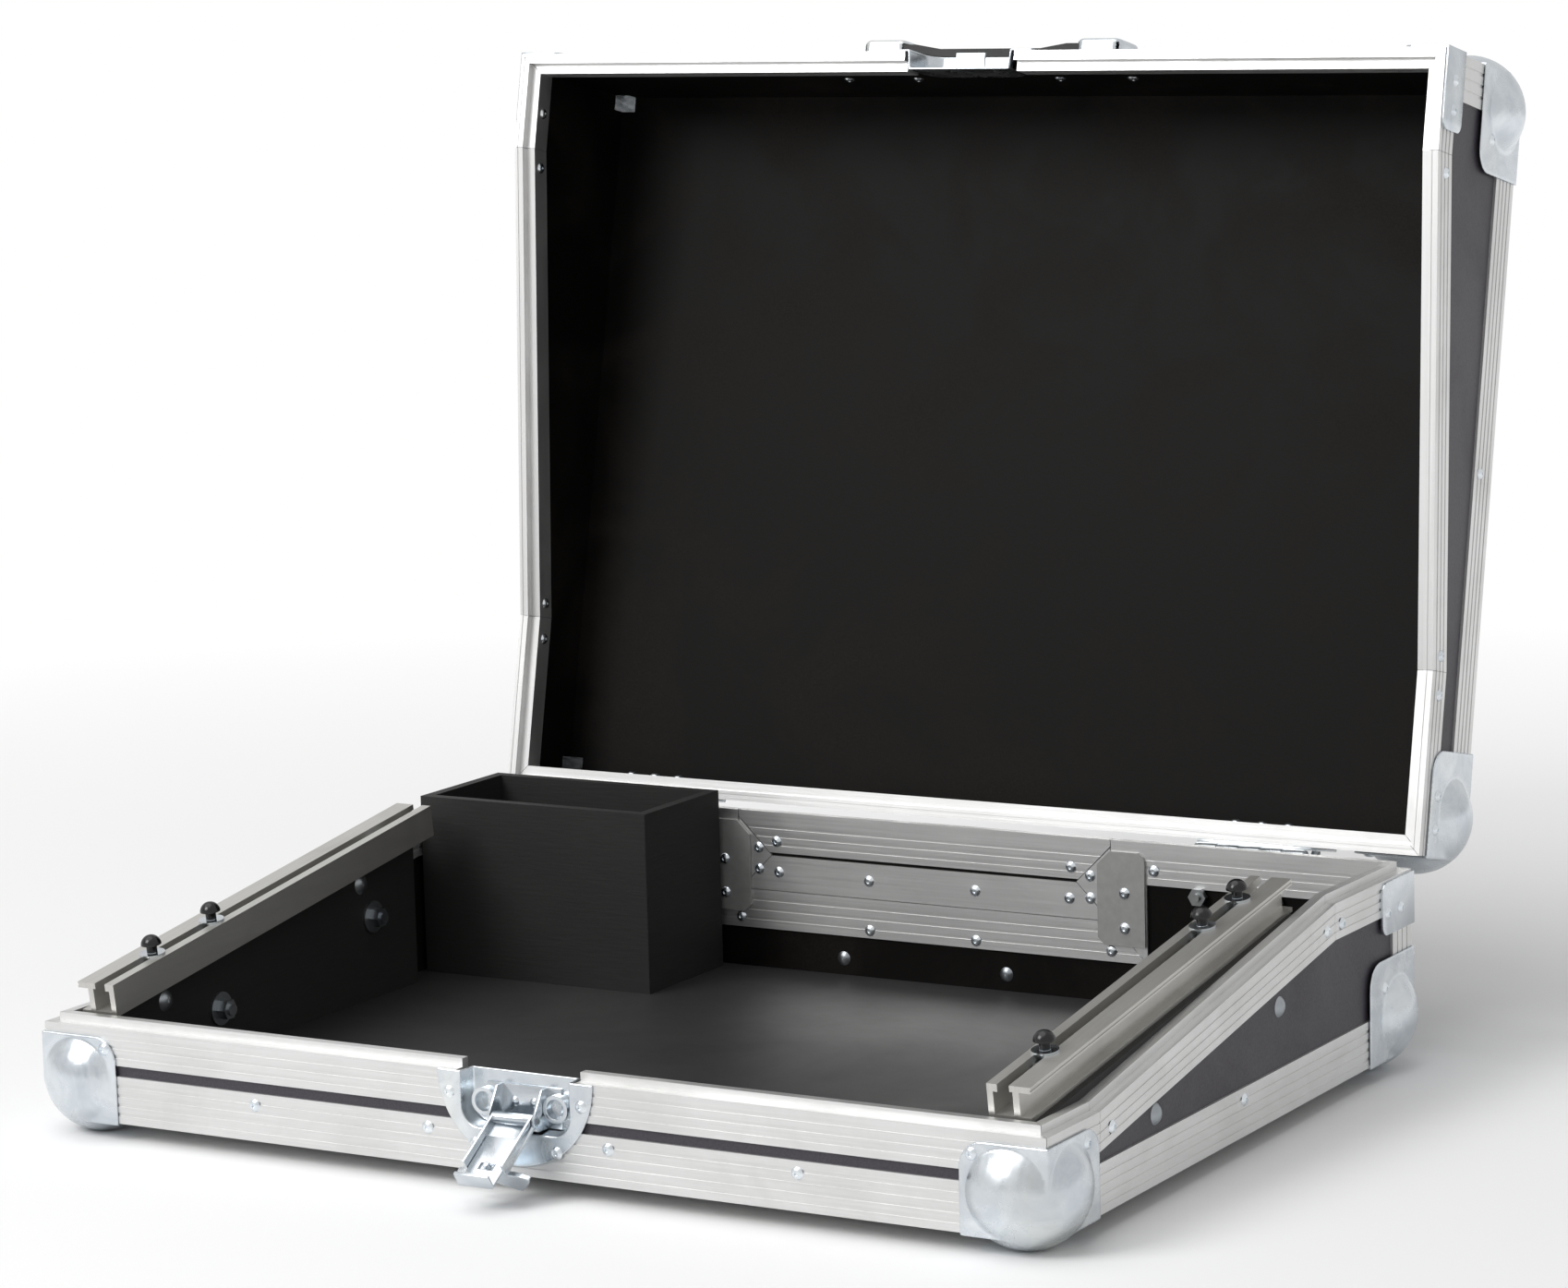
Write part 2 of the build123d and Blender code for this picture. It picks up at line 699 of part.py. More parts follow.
recess_back = behind(recess_depth)
with BuildPart() as latch_bracket:
    with BuildSketch(Plane.YZ):
        bar(recess_back, -1, 0, bracket_sheet, up_front(bracket_low), up_front(bracket_top))
    extrude(amount=bracket_half_width, both=True)
    with BuildSketch(Plane.YZ.offset(cheek_near)):
        with BuildLine():
            Polyline(
                (recess_back, up_front(bracket_top)),
                *[(behind(depth), up_front(z)) for depth, z in cheek_outline],
                (recess_back, up_front(bracket_low)),
                close=True,
            )
        make_face()
        with Locations((latch_pin_y, latch_pin_z)):
            Circle(latch_pin_radius, mode=Mode.SUBTRACT)
    extrude(amount=cheek_far - cheek_near)
    mirror(about=Plane.YZ)
    with BuildSketch(Plane.XY.offset(up_front(bracket_low))):
        with Locations((0, (behind(bracket_shelf_front) + recess_back) / 2)):
            Rectangle(2 * cheek_far, recess_depth - bracket_shelf_front)
    extrude(amount=bracket_sheet)
    with BuildSketch(Plane.XZ.offset(-recess_back)):
        with Locations((-eyelet_x, up_front(eyelet_z)), (eyelet_x, up_front(eyelet_z))):
            Circle(eyelet_outer)
            Circle(eyelet_inner, mode=Mode.SUBTRACT)
    extrude(amount=bracket_sheet + eyelet_rise)
    shelf_spots = [(x, recess_back - bracket_sheet) for x in (-bracket_rivet_x, bracket_rivet_x)]
    heads([(x, y, up_front(bracket_rivet_z)) for x, y in shelf_spots], outward_front, 2.2, 1.0)
base_pieces["latch_bracket"] = latch_bracket

with BuildPart() as latch_pin:
    with Locations(Plane(origin=(0, latch_pin_y, latch_pin_z), z_dir=(1, 0, 0))):
        Cylinder(latch_pin_radius, 2 * (cheek_far + pin_overhang))
base_pieces["latch_pin"] = latch_pin

arm_face = latch_pin_y - arm_near
with BuildPart() as latch_arm:
    with BuildSketch(Plane.XY.offset(latch_pin_z)):
        with Locations((0, arm_face + arm_sheet / 2)):
            Rectangle(2 * arm_half_width, arm_sheet)
        flange_depth = latch_pin_y + arm_flange_past_pin - arm_face
        for right in (-1, 1):
            with Locations((right * (arm_half_width - arm_sheet / 2), arm_face + flange_depth / 2)):
                Rectangle(arm_sheet, flange_depth)
    extrude(amount=arm_length)
    with Locations(Plane(origin=(0, latch_pin_y, latch_pin_z), z_dir=(1, 0, 0))):
        Cylinder(barrel_radius, 2 * arm_half_width)
        Cylinder(latch_pin_radius + running_clearance, 3 * arm_half_width, mode=Mode.SUBTRACT)
    with Locations(Plane(origin=(0, arm_face, latch_pin_z + wing_height), z_dir=(0, 1, 0))):
        Cylinder(wing_stem_radius + running_clearance, 3 * arm_sheet, mode=Mode.SUBTRACT)

stem_end = arm_face + arm_sheet + stack_gap
hook_face = stem_end + stack_gap
with BuildPart() as latch_hook:
    with BuildSketch(Plane.XZ.offset(-hook_face)):
        hook_low, hook_high = latch_pin_z + hook_start, latch_pin_z + hook_end
        with Locations((0, (hook_low + hook_high) / 2)):
            Rectangle(2 * hook_half_width, hook_high - hook_low)
        with Locations((0, latch_pin_z + wing_height + crank_offset)):
            slot_half_width = crank_radius + crank_offset + hook_slot_play
            Rectangle(2 * slot_half_width, 2 * hook_slot_half_height, mode=Mode.SUBTRACT)
    extrude(amount=-hook_sheet)
    with BuildSketch(Plane.XY.offset(hook_high)):
        with Locations((0, (hook_face + behind(hook_lip_depth)) / 2)):
            Rectangle(2 * hook_half_width, behind(hook_lip_depth) - hook_face)
    extrude(amount=-hook_lip)

with BuildPart() as latch_wing:
    with Locations(Plane(origin=(0, stem_end, latch_pin_z + wing_height), z_dir=(0, -1, 0))):
        Cylinder(wing_stem_radius, stem_end - arm_face + wing_stem_reach, align=on_plane)
    with Locations(Plane(origin=(0, stem_end, latch_pin_z + wing_height + crank_offset), z_dir=(0, 1, 0))):
        Cylinder(crank_radius, hook_sheet + crank_overhang, align=on_plane)
    with BuildSketch(Plane.XY.offset(latch_pin_z + wing_height - wing_thickness / 2)):
        for right in (-1, 1):
            with BuildLine():
                Polyline(*[(right * x, arm_face - out) for x, out in wing_outline], close=True)
            make_face()
    extrude(amount=wing_thickness)

with BuildPart() as latch_keeper:
    with BuildSketch(Plane.XY.offset(up_front(keeper_low))):
        with Locations((0, (behind(keeper_front) + recess_back) / 2)):
            Rectangle(2 * keeper_half_width, recess_depth - keeper_front)
    extrude(amount=keeper_high - keeper_low)
    with BuildSketch(Plane.XZ.offset(-recess_back)):
        with Locations((0, up_front(keeper_high))):
            Rectangle(3 * keeper_half_width, 2 * keeper_half_width)
    extrude(amount=bracket_sheet)
    rivet_x = keeper_half_width + keeper_rivet_gap
    heads([(x, recess_back - bracket_sheet, up_front(keeper_high)) for x in (-rivet_x, rivet_x)],
          outward_front, 1.8, 0.9)
lid_pieces["latch_keeper"] = latch_keeper

latch_axis = Axis((0, latch_pin_y, latch_pin_z), (1, 0, 0))
latch_pieces = {"latch_arm": latch_arm, "latch_wing": latch_wing, "latch_hook": latch_hook}

# Lid hinges: cranked leaves on the back faces with knuckles round a loose pin

hinge_x = 172.0
hinge_half_width = 30.0
leaf_sheet = 1.5
leaf_height = 31.0
knuckle_radius = 4.85
hinge_pin_radius = 2.0
hinge_axis_y = back_y + leaf_sheet + knuckle_radius
hinge_axis_z = back_rim_z - 1.8
base_leaf_top = back_rim_z - 0.3
lid_leaf_low = back_rim_z + rim_gap + 0.3
knuckle_half_run = 28.7
knuckle_gap = 0.3
gusset = 8.0
knuckle_count = 5
hinge_bolt_pitch = 20.0
hinge_bolt_end = 5.0
hinge_bolt_z = up_front(64.6)
lid_leaf_rivet_pitch = 14.0
stop_near = 29.0
stop_far = 31.0
stop_outline = [(-knuckle_radius, -6.0), (6.9, 3.4), (12.6, 2.1), (12.6, -1.0), (-knuckle_radius, -18.0)]


def hinge_leaf(low, high, up, first):
    """Add the right-hand leaf with every second knuckle and its gusset."""
    with Locations((hinge_x, back_y + leaf_sheet / 2, (low + high) / 2)):
        Box(2 * hinge_half_width, leaf_sheet, high - low)
    pitch = 2 * knuckle_half_run / knuckle_count
    for number in range(first, knuckle_count, 2):
        start = hinge_x - knuckle_half_run + number * pitch + knuckle_gap / 2
        with BuildSketch(Plane.YZ.offset(start)) as section:
            with Locations((hinge_axis_y, hinge_axis_z)):
                Circle(knuckle_radius)
            with BuildLine():
                Polyline(
                    (back_y + leaf_sheet, hinge_axis_z + up * gusset),
                    (hinge_axis_y, hinge_axis_z + up * knuckle_radius),
                    (hinge_axis_y, hinge_axis_z),
                    (back_y + leaf_sheet, hinge_axis_z + up * 2.6),
                    close=True,
                )
            make_face()
            with Locations((hinge_axis_y, hinge_axis_z)):
                Circle(hinge_pin_radius + running_clearance, mode=Mode.SUBTRACT)
        extrude(section.sketch, amount=pitch - knuckle_gap)


with BuildPart() as base_hinge_leaves:
    hinge_leaf(base_leaf_top - leaf_height, base_leaf_top, -1, 0)
    for start in (hinge_x - stop_far, hinge_x + stop_near):
        with BuildSketch(Plane(origin=(start, hinge_axis_y, hinge_axis_z), x_dir=(0, 1, 0), z_dir=(1, 0, 0))):
            with BuildLine():
                Polyline(*stop_outline, close=True)
            make_face()
        extrude(amount=stop_far - stop_near)
    mirror(about=Plane.YZ)
base_pieces["base_hinge_leaves"] = base_hinge_leaves

with BuildPart() as lid_hinge_leaves:
    hinge_leaf(lid_leaf_low, lid_leaf_low + leaf_height, 1, 1)
    mirror(about=Plane.YZ)
lid_pieces["lid_hinge_leaves"] = lid_hinge_leaves

with BuildPart() as hinge_pins:
    with Locations(Plane(origin=(hinge_x, hinge_axis_y, hinge_axis_z), z_dir=(1, 0, 0))):
        Cylinder(hinge_pin_radius, 2 * knuckle_half_run)
    mirror(about=Plane.YZ)
base_pieces["hinge_pins"] = hinge_pins

hinge_bolt_steps = [step * hinge_bolt_pitch for step in (-1, 0, 1)]
hinge_bolts = [(side * hinge_x + step, hinge_bolt_z) for side in (-1, 1) for step in hinge_bolt_steps]
inner_back_y = back_y - wall
with BuildPart() as hinge_nuts:
    with BuildSketch(Plane.XZ.offset(-inner_back_y)):
        with Locations(*hinge_bolts):
            RegularPolygon(4.6, 6)
    extrude(amount=3.2)
    with BuildSketch(Plane.XZ.offset(-inner_back_y - skin)):
        with Locations(*hinge_bolts):
            Circle(2.0)
    extrude(amount=hinge_bolt_end + skin)
    heads([(x, back_y + leaf_sheet, z) for x, z in hinge_bolts], outward_back, 4.0, 1.8)
base_pieces["hinge_nuts"] = hinge_nuts

# Rack rails on sloping bearers, with the side bolts that hold them

rail_inset = 24.95
rail_x = side_x - rail_inset
rail_angle = 8.3
rail_front = 10.0
rail_top = 61.6
rail_length = 262.0
rail_height = 15.5
rail_lip = 3.4
rail_shelf = 2.8
slot_inner = -2.75
slot_outer = 2.8
rail_inner = -7.65
rail_outer = 12.65
bearer_near = 10.0
bearer_far = 268.0
bearer_width = 12.5
bearer_inner_x = inner_x - bearer_width
rail_run = Vector(0, cos(radians(rail_angle)), sin(radians(rail_angle)))
rail_up = Vector(0, -sin(radians(rail_angle)), cos(radians(rail_angle)))
rail_start = Vector(rail_x, behind(rail_front), up_front(rail_top))
bearer_screw_points = [(behind(221.8), up_front(67.4)), (behind(62.0), up_front(42.4))]


def rail_place(y, above=0.0):
    """Point over the slot's middle line at a place in Y, raised square to the rail."""
    return rail_start + rail_run * ((y - rail_start.Y) / rail_run.Y) + rail_up * above


with BuildPart() as rack_rails:
    with BuildSketch(Plane(origin=rail_start, x_dir=(1, 0, 0), z_dir=-rail_run)):
        for near, far, low, high in (
            (rail_inner, rail_inner + 2.8, -rail_height, 0),
            (rail_inner, slot_inner, -rail_lip, 0),
            (slot_outer, rail_outer, -rail_shelf, 0),
            (4.2, 7.1, -rail_height, 0),
            (rail_inner, rail_outer - 0.55, -rail_height, 2.0 - rail_height),
        ):
            with Locations(((near + far) / 2, (low + high) / 2)):
                Rectangle(far - near, high - low)
        with Locations((rail_outer, -rail_shelf / 2)):
            Rectangle(2 * groove_depth, 1.0, mode=Mode.SUBTRACT)
    extrude(amount=-rail_length)
    mirror(about=Plane.YZ)
base_pieces["rack_rails"] = rack_rails


def rail_underside(y):
    """Height of the rail's underside at a place in Y."""
    return rail_start.Z + ((y - rail_start.Y) * rail_run.Z - rail_height) / rail_run.Y


with BuildPart() as rail_bearers:
    with BuildSketch(Plane.YZ.offset(bearer_inner_x)):
        with BuildLine():
            Polyline(
                (behind(bearer_near), floor_z),
                (behind(bearer_far), floor_z),
                (behind(bearer_far), rail_underside(behind(bearer_far))),
                (behind(bearer_near), rail_underside(behind(bearer_near))),
                close=True,
            )
        make_face()
        with Locations(*bolt_points):
            Circle(bolt_radius + bolt_hole_clearance, mode=Mode.SUBTRACT)
    extrude(amount=inner_x - bearer_inner_x)
    mirror(about=Plane.YZ)
base_pieces["rail_bearers"] = rail_bearers

with BuildPart() as side_bolts:
    for y, z in bolt_points:
        with Locations(Plane(origin=(side_x - skin, y, z), z_dir=(1, 0, 0))):
            dome(bolt_head_radius, bolt_head_height)
        with Locations(Plane(origin=(side_x - skin, y, z), z_dir=(-1, 0, 0))):
            shank = side_x - skin - bearer_inner_x + bolt_washer_thickness + bolt_nut_height + 1.5
            Cylinder(bolt_radius, shank, align=(Align.CENTER, Align.CENTER, Align.MIN))
        with BuildSketch(Plane.YZ.offset(bearer_inner_x)):
            with Locations((y, z)):
                Circle(bolt_washer_radius)
        extrude(amount=-bolt_washer_thickness)
        with BuildSketch(Plane.YZ.offset(bearer_inner_x - bolt_washer_thickness)):
            with Locations((y, z)):
                RegularPolygon(bolt_nut_radius, 6)
        extrude(amount=-bolt_nut_height)
    mirror(about=Plane.YZ)
base_pieces["side_bolts"] = side_bolts

with BuildPart() as bearer_screws:
    heads([(bearer_inner_x, y, z) for y, z in bearer_screw_points], (-1, 0, 0), bearer_screw_radius,
          bearer_screw_height)
    mirror(about=Plane.YZ)
base_pieces["bearer_screws"] = bearer_screws

with BuildPart() as wall_screws:
    heads([(x, back_y - wall + skin, up_front(16.6)) for x in (-46.0, 46.0)], outward_front, 3.6, 1.4)
base_pieces["wall_screws"] = wall_screws

# Rack screws standing loose in the rails, each with a washer and a channel nut

screw_head_radius = 4.875
screw_head_height = 4.5
screw_showing = 4.0
screw_radius = 2.5
screw_washer_radius = 6.0
screw_washer_thickness = 1.0
nut_width = 8.6
nut_thickness = 4.0
nut_drop = rail_lip + 0.1
nut_offset = 0.33
slide_gap = 0.04
screw_places = {
    "rack_screw_1": (1, 48.6),
    "rack_screw_2": (1, 201.8),
    "rack_screw_3": (1, 238.7),
    "rack_screw_4": (-1, 50.0),
    "rack_screw_5": (-1, 95.9),
}
loose_pieces = {}


def rail_plane(side, y, above):
    """Plane square to the rail at a height over its slot."""
    spot = rail_place(behind(y), above)
    return Plane(origin=(side * spot.X, spot.Y, spot.Z), x_dir=(1, 0, 0), z_dir=rail_up)


def channel_nut(side, y):
    """Add a spring nut inside the channel, threaded through."""
    with BuildSketch(rail_plane(side, y, -nut_drop - nut_thickness)) as outline:
        with Locations((-side * nut_offset, 0)):
            RectangleRounded(nut_width, nut_width + 2.0, 1.0)
    extrude(outline.sketch, amount=nut_thickness)


for label, (side, y) in screw_places.items():
    with BuildPart() as rack_screw:
        channel_nut(side, y)
        shank_low = -nut_drop - nut_thickness - 2.0
        stem_top = slide_gap + screw_washer_thickness + screw_showing
        with Locations(rail_plane(side, y, shank_low)):
            Cylinder(screw_radius, stem_top - shank_low, align=on_plane)
        with Locations(rail_plane(side, y, slide_gap)):
            Cylinder(screw_washer_radius, screw_washer_thickness, align=on_plane)
        with Locations(rail_plane(side, y, stem_top)):
            dome(screw_head_radius, screw_head_height)
    loose_pieces[label] = rack_screw

with BuildPart() as rack_nut_loose:
    channel_nut(-1, 236.5)
    with Locations(rail_plane(-1, 236.5, -nut_drop - 2 * nut_thickness)):
        Cylinder(screw_radius, 4 * nut_thickness, mode=Mode.SUBTRACT)
loose_pieces["rack_nut_loose"] = rack_nut_loose

# Accessory box in the rear left corner, open on top

box_near_x = -113.0
box_front = 292.0
box_top = 99.0
box_wall = 5.5
box_gap = 0.3
box_far_x = rivet_height + box_gap - inner_x
box_back_y = back_y - wall - hinge_bolt_end - box_gap
with BuildPart() as accessory_box:
    middle = ((box_near_x + box_far_x) / 2, (behind(box_front) + box_back_y) / 2)
    wide, deep = box_near_x - box_far_x, box_back_y - behind(box_front)
    with Locations((*middle, floor_z)):
        Box(wide, deep, up_front(box_top) - floor_z, align=on_plane)
    with Locations((*middle, floor_z + box_wall)):
        room = (wide - 2 * box_wall, deep - 2 * box_wall, closed_height)
        Box(*room, align=on_plane, mode=Mode.SUBTRACT)
base_pieces["accessory_box"] = accessory_box

# Cable flap, lifted straight up out of its guide plates

flap_channel_top = up_front(66.3)
flap_rim_low = back_rim_z - flap_bottom_flange
flap_low = sill_z + flap_seat
flap_pieces = {}
flap_tip = 85.6


def flap_solid(low, high, near, far, half_width, mode=Mode.ADD):
    """Add or cut a slab of the flap between two depths from the back face."""
    with Locations((0, back_y - (near + far) / 2, (low + high) / 2)):
        Box(2 * half_width, far - near, high - low, mode=mode)


with BuildPart() as flap_panel:
    flap_solid(flap_low + skin, back_rim_z - skin, skin, wall - skin, flap_half_width - skin)
flap_pieces["flap_panel"] = flap_panel


def flap_end(tip, low, high, far):
    """Draw the triangle at each end of the flap where its end channel is mitred."""
    for right in (-1, 1):
        with BuildLine() as triangle:
            Polyline((right * far, low), (right * tip, (low + high) / 2), (right * far, high), close=True)
        make_face(triangle.line.edges())


with BuildPart() as flap_edging:
    with BuildSketch(Plane.YZ):
        base_rim_section(back_y, -1, back_rim_z, flap_slim)
        bar(back_y, -1, 0, wall, back_rim_z - rim_flange - 1.0, flap_rim_low, Mode.SUBTRACT)
        bar(back_y, -1, flap_slim, wall - flap_slim, flap_low, flap_channel_top)
        bar(back_y, -1, skin, wall - skin, flap_low + skin, flap_channel_top, Mode.SUBTRACT)
    extrude(amount=flap_half_width, both=True)
    with BuildSketch(Plane.XZ.offset(-back_y - 1.0)):
        flap_end(flap_tip, flap_low - 0.7, back_rim_z + 0.4, flap_half_width)
    extrude(amount=2 * wall, mode=Mode.SUBTRACT)
    with BuildSketch(Plane.XZ.offset(-back_y + flap_slim)):
        flap_end(flap_tip + 0.4, flap_low, back_rim_z - 0.3, flap_half_width)
    extrude(amount=wall - 2 * flap_slim)
    flap_solid(flap_low + skin, back_rim_z - skin, skin, wall - skin, flap_half_width - skin, Mode.SUBTRACT)
flap_pieces["flap_edging"] = flap_edging

flap_spots = [(83.0, 73.7), (82.0, 58.0), (30.0, 57.5), (93.5, 70.0), (93.5, 59.0)]
with BuildPart() as flap_rivets:
    inside, outside = back_y - wall + flap_slim, back_y - flap_slim
    heads([(x, inside, up_front(z)) for x, z in flap_spots], outward_front)
    heads([(x, outside, up_front(z)) for x, z in flap_spots], outward_back)
    mirror(about=Plane.YZ)
flap_pieces["flap_rivets"] = flap_rivets

# Carrying handle on the front of the lid

cap_x = 60.0
cap_z = 87.5
cap_width = 25.0
cap_height = 25.0
cap_rise = 11.5
cap_wall = 1.2
plate_length = 50.0
plate_height = 29.0
plate_sheet = 1.5
strap_width = 22.0
strap_thickness = 4.0
strap_cap_rise = 9.0
strap_middle_rise = 6.6
strap_end = 66.8
strap_bend = 42.5
strap_flat = 28.0
strap_room = 0.4
panel_front = behind(skin)

with BuildPart() as handle_caps:
    with BuildSketch(Plane.XZ.offset(-panel_front)):
        with Locations((cap_x, up_front(cap_z) - 2.0)):
            RectangleRounded(plate_length, plate_height, 6.0)
    extrude(amount=plate_sheet)
    with BuildSketch(Plane.XZ.offset(-panel_front)):
        with Locations((cap_x, up_front(cap_z))):
            RectangleRounded(cap_width, cap_height, 5.0)
    extrude(amount=cap_rise + skin)
    top_edges = handle_caps.edges().group_by(Axis.Y)[0]
    fillet(top_edges, radius=3.0)
    with BuildSketch(Plane.YZ.offset(cap_x - cap_width)):
        with Locations((behind(-strap_cap_rise + strap_thickness / 2), up_front(cap_z))):
            Rectangle(strap_thickness + 2 * strap_room, strap_width + 2 * strap_room)
    extrude(amount=1.5 * cap_width - cap_wall, mode=Mode.SUBTRACT)
    mirror(about=Plane.YZ)
lid_pieces["handle_caps"] = handle_caps

with BuildPart() as handle_strap:
    with BuildSketch(Plane.XY.offset(up_front(cap_z) - strap_width / 2)):
        with BuildLine():
            outer = [
                (strap_end, behind(-strap_cap_rise)),
                (strap_bend, behind(-strap_cap_rise)),
                (strap_flat, behind(-strap_middle_rise)),
            ]
            inner = [(x, y + strap_thickness) for x, y in outer]
            Polyline(
                *outer,
                *[(-x, y) for x, y in reversed(outer)],
                *[(-x, y) for x, y in inner],
                *reversed(inner),
                close=True,
            )
        make_face()
    extrude(amount=strap_width)
lid_pieces["handle_strap"] = handle_strap

# Rivets of the base, and of the lid

edge_rivet_rise = 16.5
edge_rivet_x = [46.5, 140.0]
side_edge_rivet_y = 0.8
base_dish_spots = [(34.0, 34.0), (21.0, 12.3)]
edging_spots = [(30.0, 32.4), (104.5, 33.7), (127.9, 75.1)]
strap_spots = [(112.6, 63.1), (112.6, 45.8)]
base_side_spots = [
    (first_bend_y + 11.2, front_rim_z - 8.9),
    (second_bend_y - 9.0, back_rim_z - 11.2),
    (second_bend_y + 7.7, back_rim_z - 10.6),
    (side_edge_rivet_y, up_front(edge_rivet_rise)),
]
brace_spots = [(back_y - 30.3, back_rim_z - 15.6), (back_y - 15.0, back_rim_z - 15.6)]
ear_rivet_inset = 34.3
inner_wall_y = back_y - wall
with BuildPart() as base_rivets:
    side_ear = side_x + ball_sheet
    heads([(side_x, y, z) for y, z in base_side_spots], (1, 0, 0))
    heads([(side_x + brace_sheet, y, z) for y, z in brace_spots], (1, 0, 0))
    ear_y = back_y - ear_rivet_inset
    heads([(side_ear, y, up_front(ear_rivet_inset)) for y in (-ear_y, ear_y)], (1, 0, 0))
    near_x = side_x - ear_rivet_inset
    heads([(near_x, front_y - ball_sheet, up_front(ear_rivet_inset))], outward_front)
    heads([(near_x, back_y + ball_sheet, up_front(ear_rivet_inset))], outward_back)
    heads([(x, front_y, up_front(edge_rivet_rise)) for x in edge_rivet_x], outward_front)
    heads([(x, front_y - dish_sheet, up_front(z)) for x, z in base_dish_spots], outward_front)
    heads([(x, inner_wall_y, up_front(z)) for x, z in edging_spots], outward_front)
    heads([(x, back_y, up_front(z)) for x, z in edging_spots], outward_back)
    heads([(x, inner_wall_y - strap_sheet, up_front(z)) for x, z in strap_spots], outward_front)
    heads([(x, back_y + strap_sheet, up_front(z)) for x, z in strap_spots], outward_back)
    mirror(about=Plane.YZ)
base_pieces["base_rivets"] = base_rivets

lid_rim_spots = [front_y + 29.5, first_bend_y + 9.3, second_bend_y - 7.3, second_bend_y + 11.3]
lid_rivet_rise = 10.5
lid_brace_spots = [front_y + 14.0, front_y + 28.1]
rear_ear_spots = [back_y - 29.0, back_y - 13.0]
rear_ear_drop = 40.5
lid_edge_rivet_drop = 15.1
lid_edge_rivet_y = 3.8
lid_dish_spots = [(34.0, 54.5), (21.0, 76.2)]
cap_spots = [cap_x - 20.0, cap_x + 20.0]
cap_rivet_z = up_front(78.0)
leaf_inner_rivet_rise = 8.0
with BuildPart() as lid_rivets:
    for face, outward in ((side_x, 1), (inner_x, -1)):
        spots = [(face, y, rim_z(y) + lid_rivet_rise) for y in lid_rim_spots[1:]]
        heads(spots, (outward, 0, 0))
    heads([(inner_x, lid_rim_spots[0], front_rim_z + lid_rivet_rise)], (-1, 0, 0))
    heads([(side_x + brace_sheet, y, brace_low + lid_brace_height / 2) for y in lid_brace_spots], (1, 0, 0))
    heads([(side_x + ball_sheet, y, top_z - rear_ear_drop) for y in rear_ear_spots], (1, 0, 0))
    heads([(side_x, lid_edge_rivet_y, top_z - lid_edge_rivet_drop)], (1, 0, 0))
    ear_z = top_z - ear_rivet_inset
    heads([(side_x + ball_sheet, front_y + ear_rivet_inset, ear_z)], (1, 0, 0))
    heads([(near_x, front_y - ball_sheet, ear_z)], outward_front)
    heads([(near_x, back_y + ball_sheet, ear_z)], outward_back)
    heads([(x, front_y - dish_sheet, up_front(z)) for x, z in lid_dish_spots], outward_front)
    heads([(x, behind(wall - skin), cap_rivet_z) for x in cap_spots], outward_back)
    heads([(x, panel_front - plate_sheet, cap_rivet_z) for x in cap_spots], outward_front)
    leaf_spots = [hinge_x + step * lid_leaf_rivet_pitch for step in (-1, 0, 1)]
    leaf_rivet_z = lid_leaf_low + leaf_height / 2
    heads([(x, back_y + leaf_sheet, leaf_rivet_z) for x in leaf_spots], outward_back, 2.6, 1.2)
    inner_rivet_z = lid_leaf_low + leaf_inner_rivet_rise
    heads([(x, back_y - wall, inner_rivet_z) for x in leaf_spots], outward_front, 2.6, 1.2)
    mirror(about=Plane.YZ)
lid_pieces["lid_rivets"] = lid_rivets

# The lid stands open and the latch arm hangs down

lid_axis = Axis((0, hinge_axis_y, hinge_axis_z), (1, 0, 0))
os.makedirs("parts", exist_ok=True)

for label, piece in {**base_pieces, **flap_pieces, **loose_pieces}.items():
    piece.part.label = label
    export_step(piece.part, f"parts/{label}.step")

for label, piece in lid_pieces.items():
    opened = piece.part.rotate(lid_axis, -lid_open_angle)
    opened.label = label
    export_step(opened, f"parts/{label}.step")

for label, piece in latch_pieces.items():
    hanging = piece.part.rotate(latch_axis, latch_swing)
    hanging.label = label
    export_step(hanging, f"parts/{label}.step")
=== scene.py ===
import json
import math

import bpy
from mathutils import Matrix, Vector

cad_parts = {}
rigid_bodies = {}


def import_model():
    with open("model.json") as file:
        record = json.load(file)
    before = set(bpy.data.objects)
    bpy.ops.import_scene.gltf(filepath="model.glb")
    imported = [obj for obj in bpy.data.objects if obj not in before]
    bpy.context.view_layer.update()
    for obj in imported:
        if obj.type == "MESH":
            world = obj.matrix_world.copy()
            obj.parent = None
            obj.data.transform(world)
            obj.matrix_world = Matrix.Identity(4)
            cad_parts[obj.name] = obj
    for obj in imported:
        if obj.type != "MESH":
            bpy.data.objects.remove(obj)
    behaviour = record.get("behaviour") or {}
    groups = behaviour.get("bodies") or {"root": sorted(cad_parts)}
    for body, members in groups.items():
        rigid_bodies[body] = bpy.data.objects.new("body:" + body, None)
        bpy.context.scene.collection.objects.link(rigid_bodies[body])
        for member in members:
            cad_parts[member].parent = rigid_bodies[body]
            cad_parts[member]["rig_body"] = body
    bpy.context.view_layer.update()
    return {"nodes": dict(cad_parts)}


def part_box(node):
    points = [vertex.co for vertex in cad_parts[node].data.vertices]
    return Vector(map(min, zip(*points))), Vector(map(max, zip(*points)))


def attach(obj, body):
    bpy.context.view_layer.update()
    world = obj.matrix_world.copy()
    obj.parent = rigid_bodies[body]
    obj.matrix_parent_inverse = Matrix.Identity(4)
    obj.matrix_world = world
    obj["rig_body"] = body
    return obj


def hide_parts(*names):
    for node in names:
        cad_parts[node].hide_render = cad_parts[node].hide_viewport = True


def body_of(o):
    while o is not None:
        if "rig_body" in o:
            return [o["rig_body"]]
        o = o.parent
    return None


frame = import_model()

# Aluminium extrusions: angle bars on the outer edges and channel bars with a tongue or a
# lip along the meeting line, drawn with shallow flutes, sawn at 45 degrees and riveted on.
# Their mill finish is bright with a fine grain along the bar and a few handling marks.


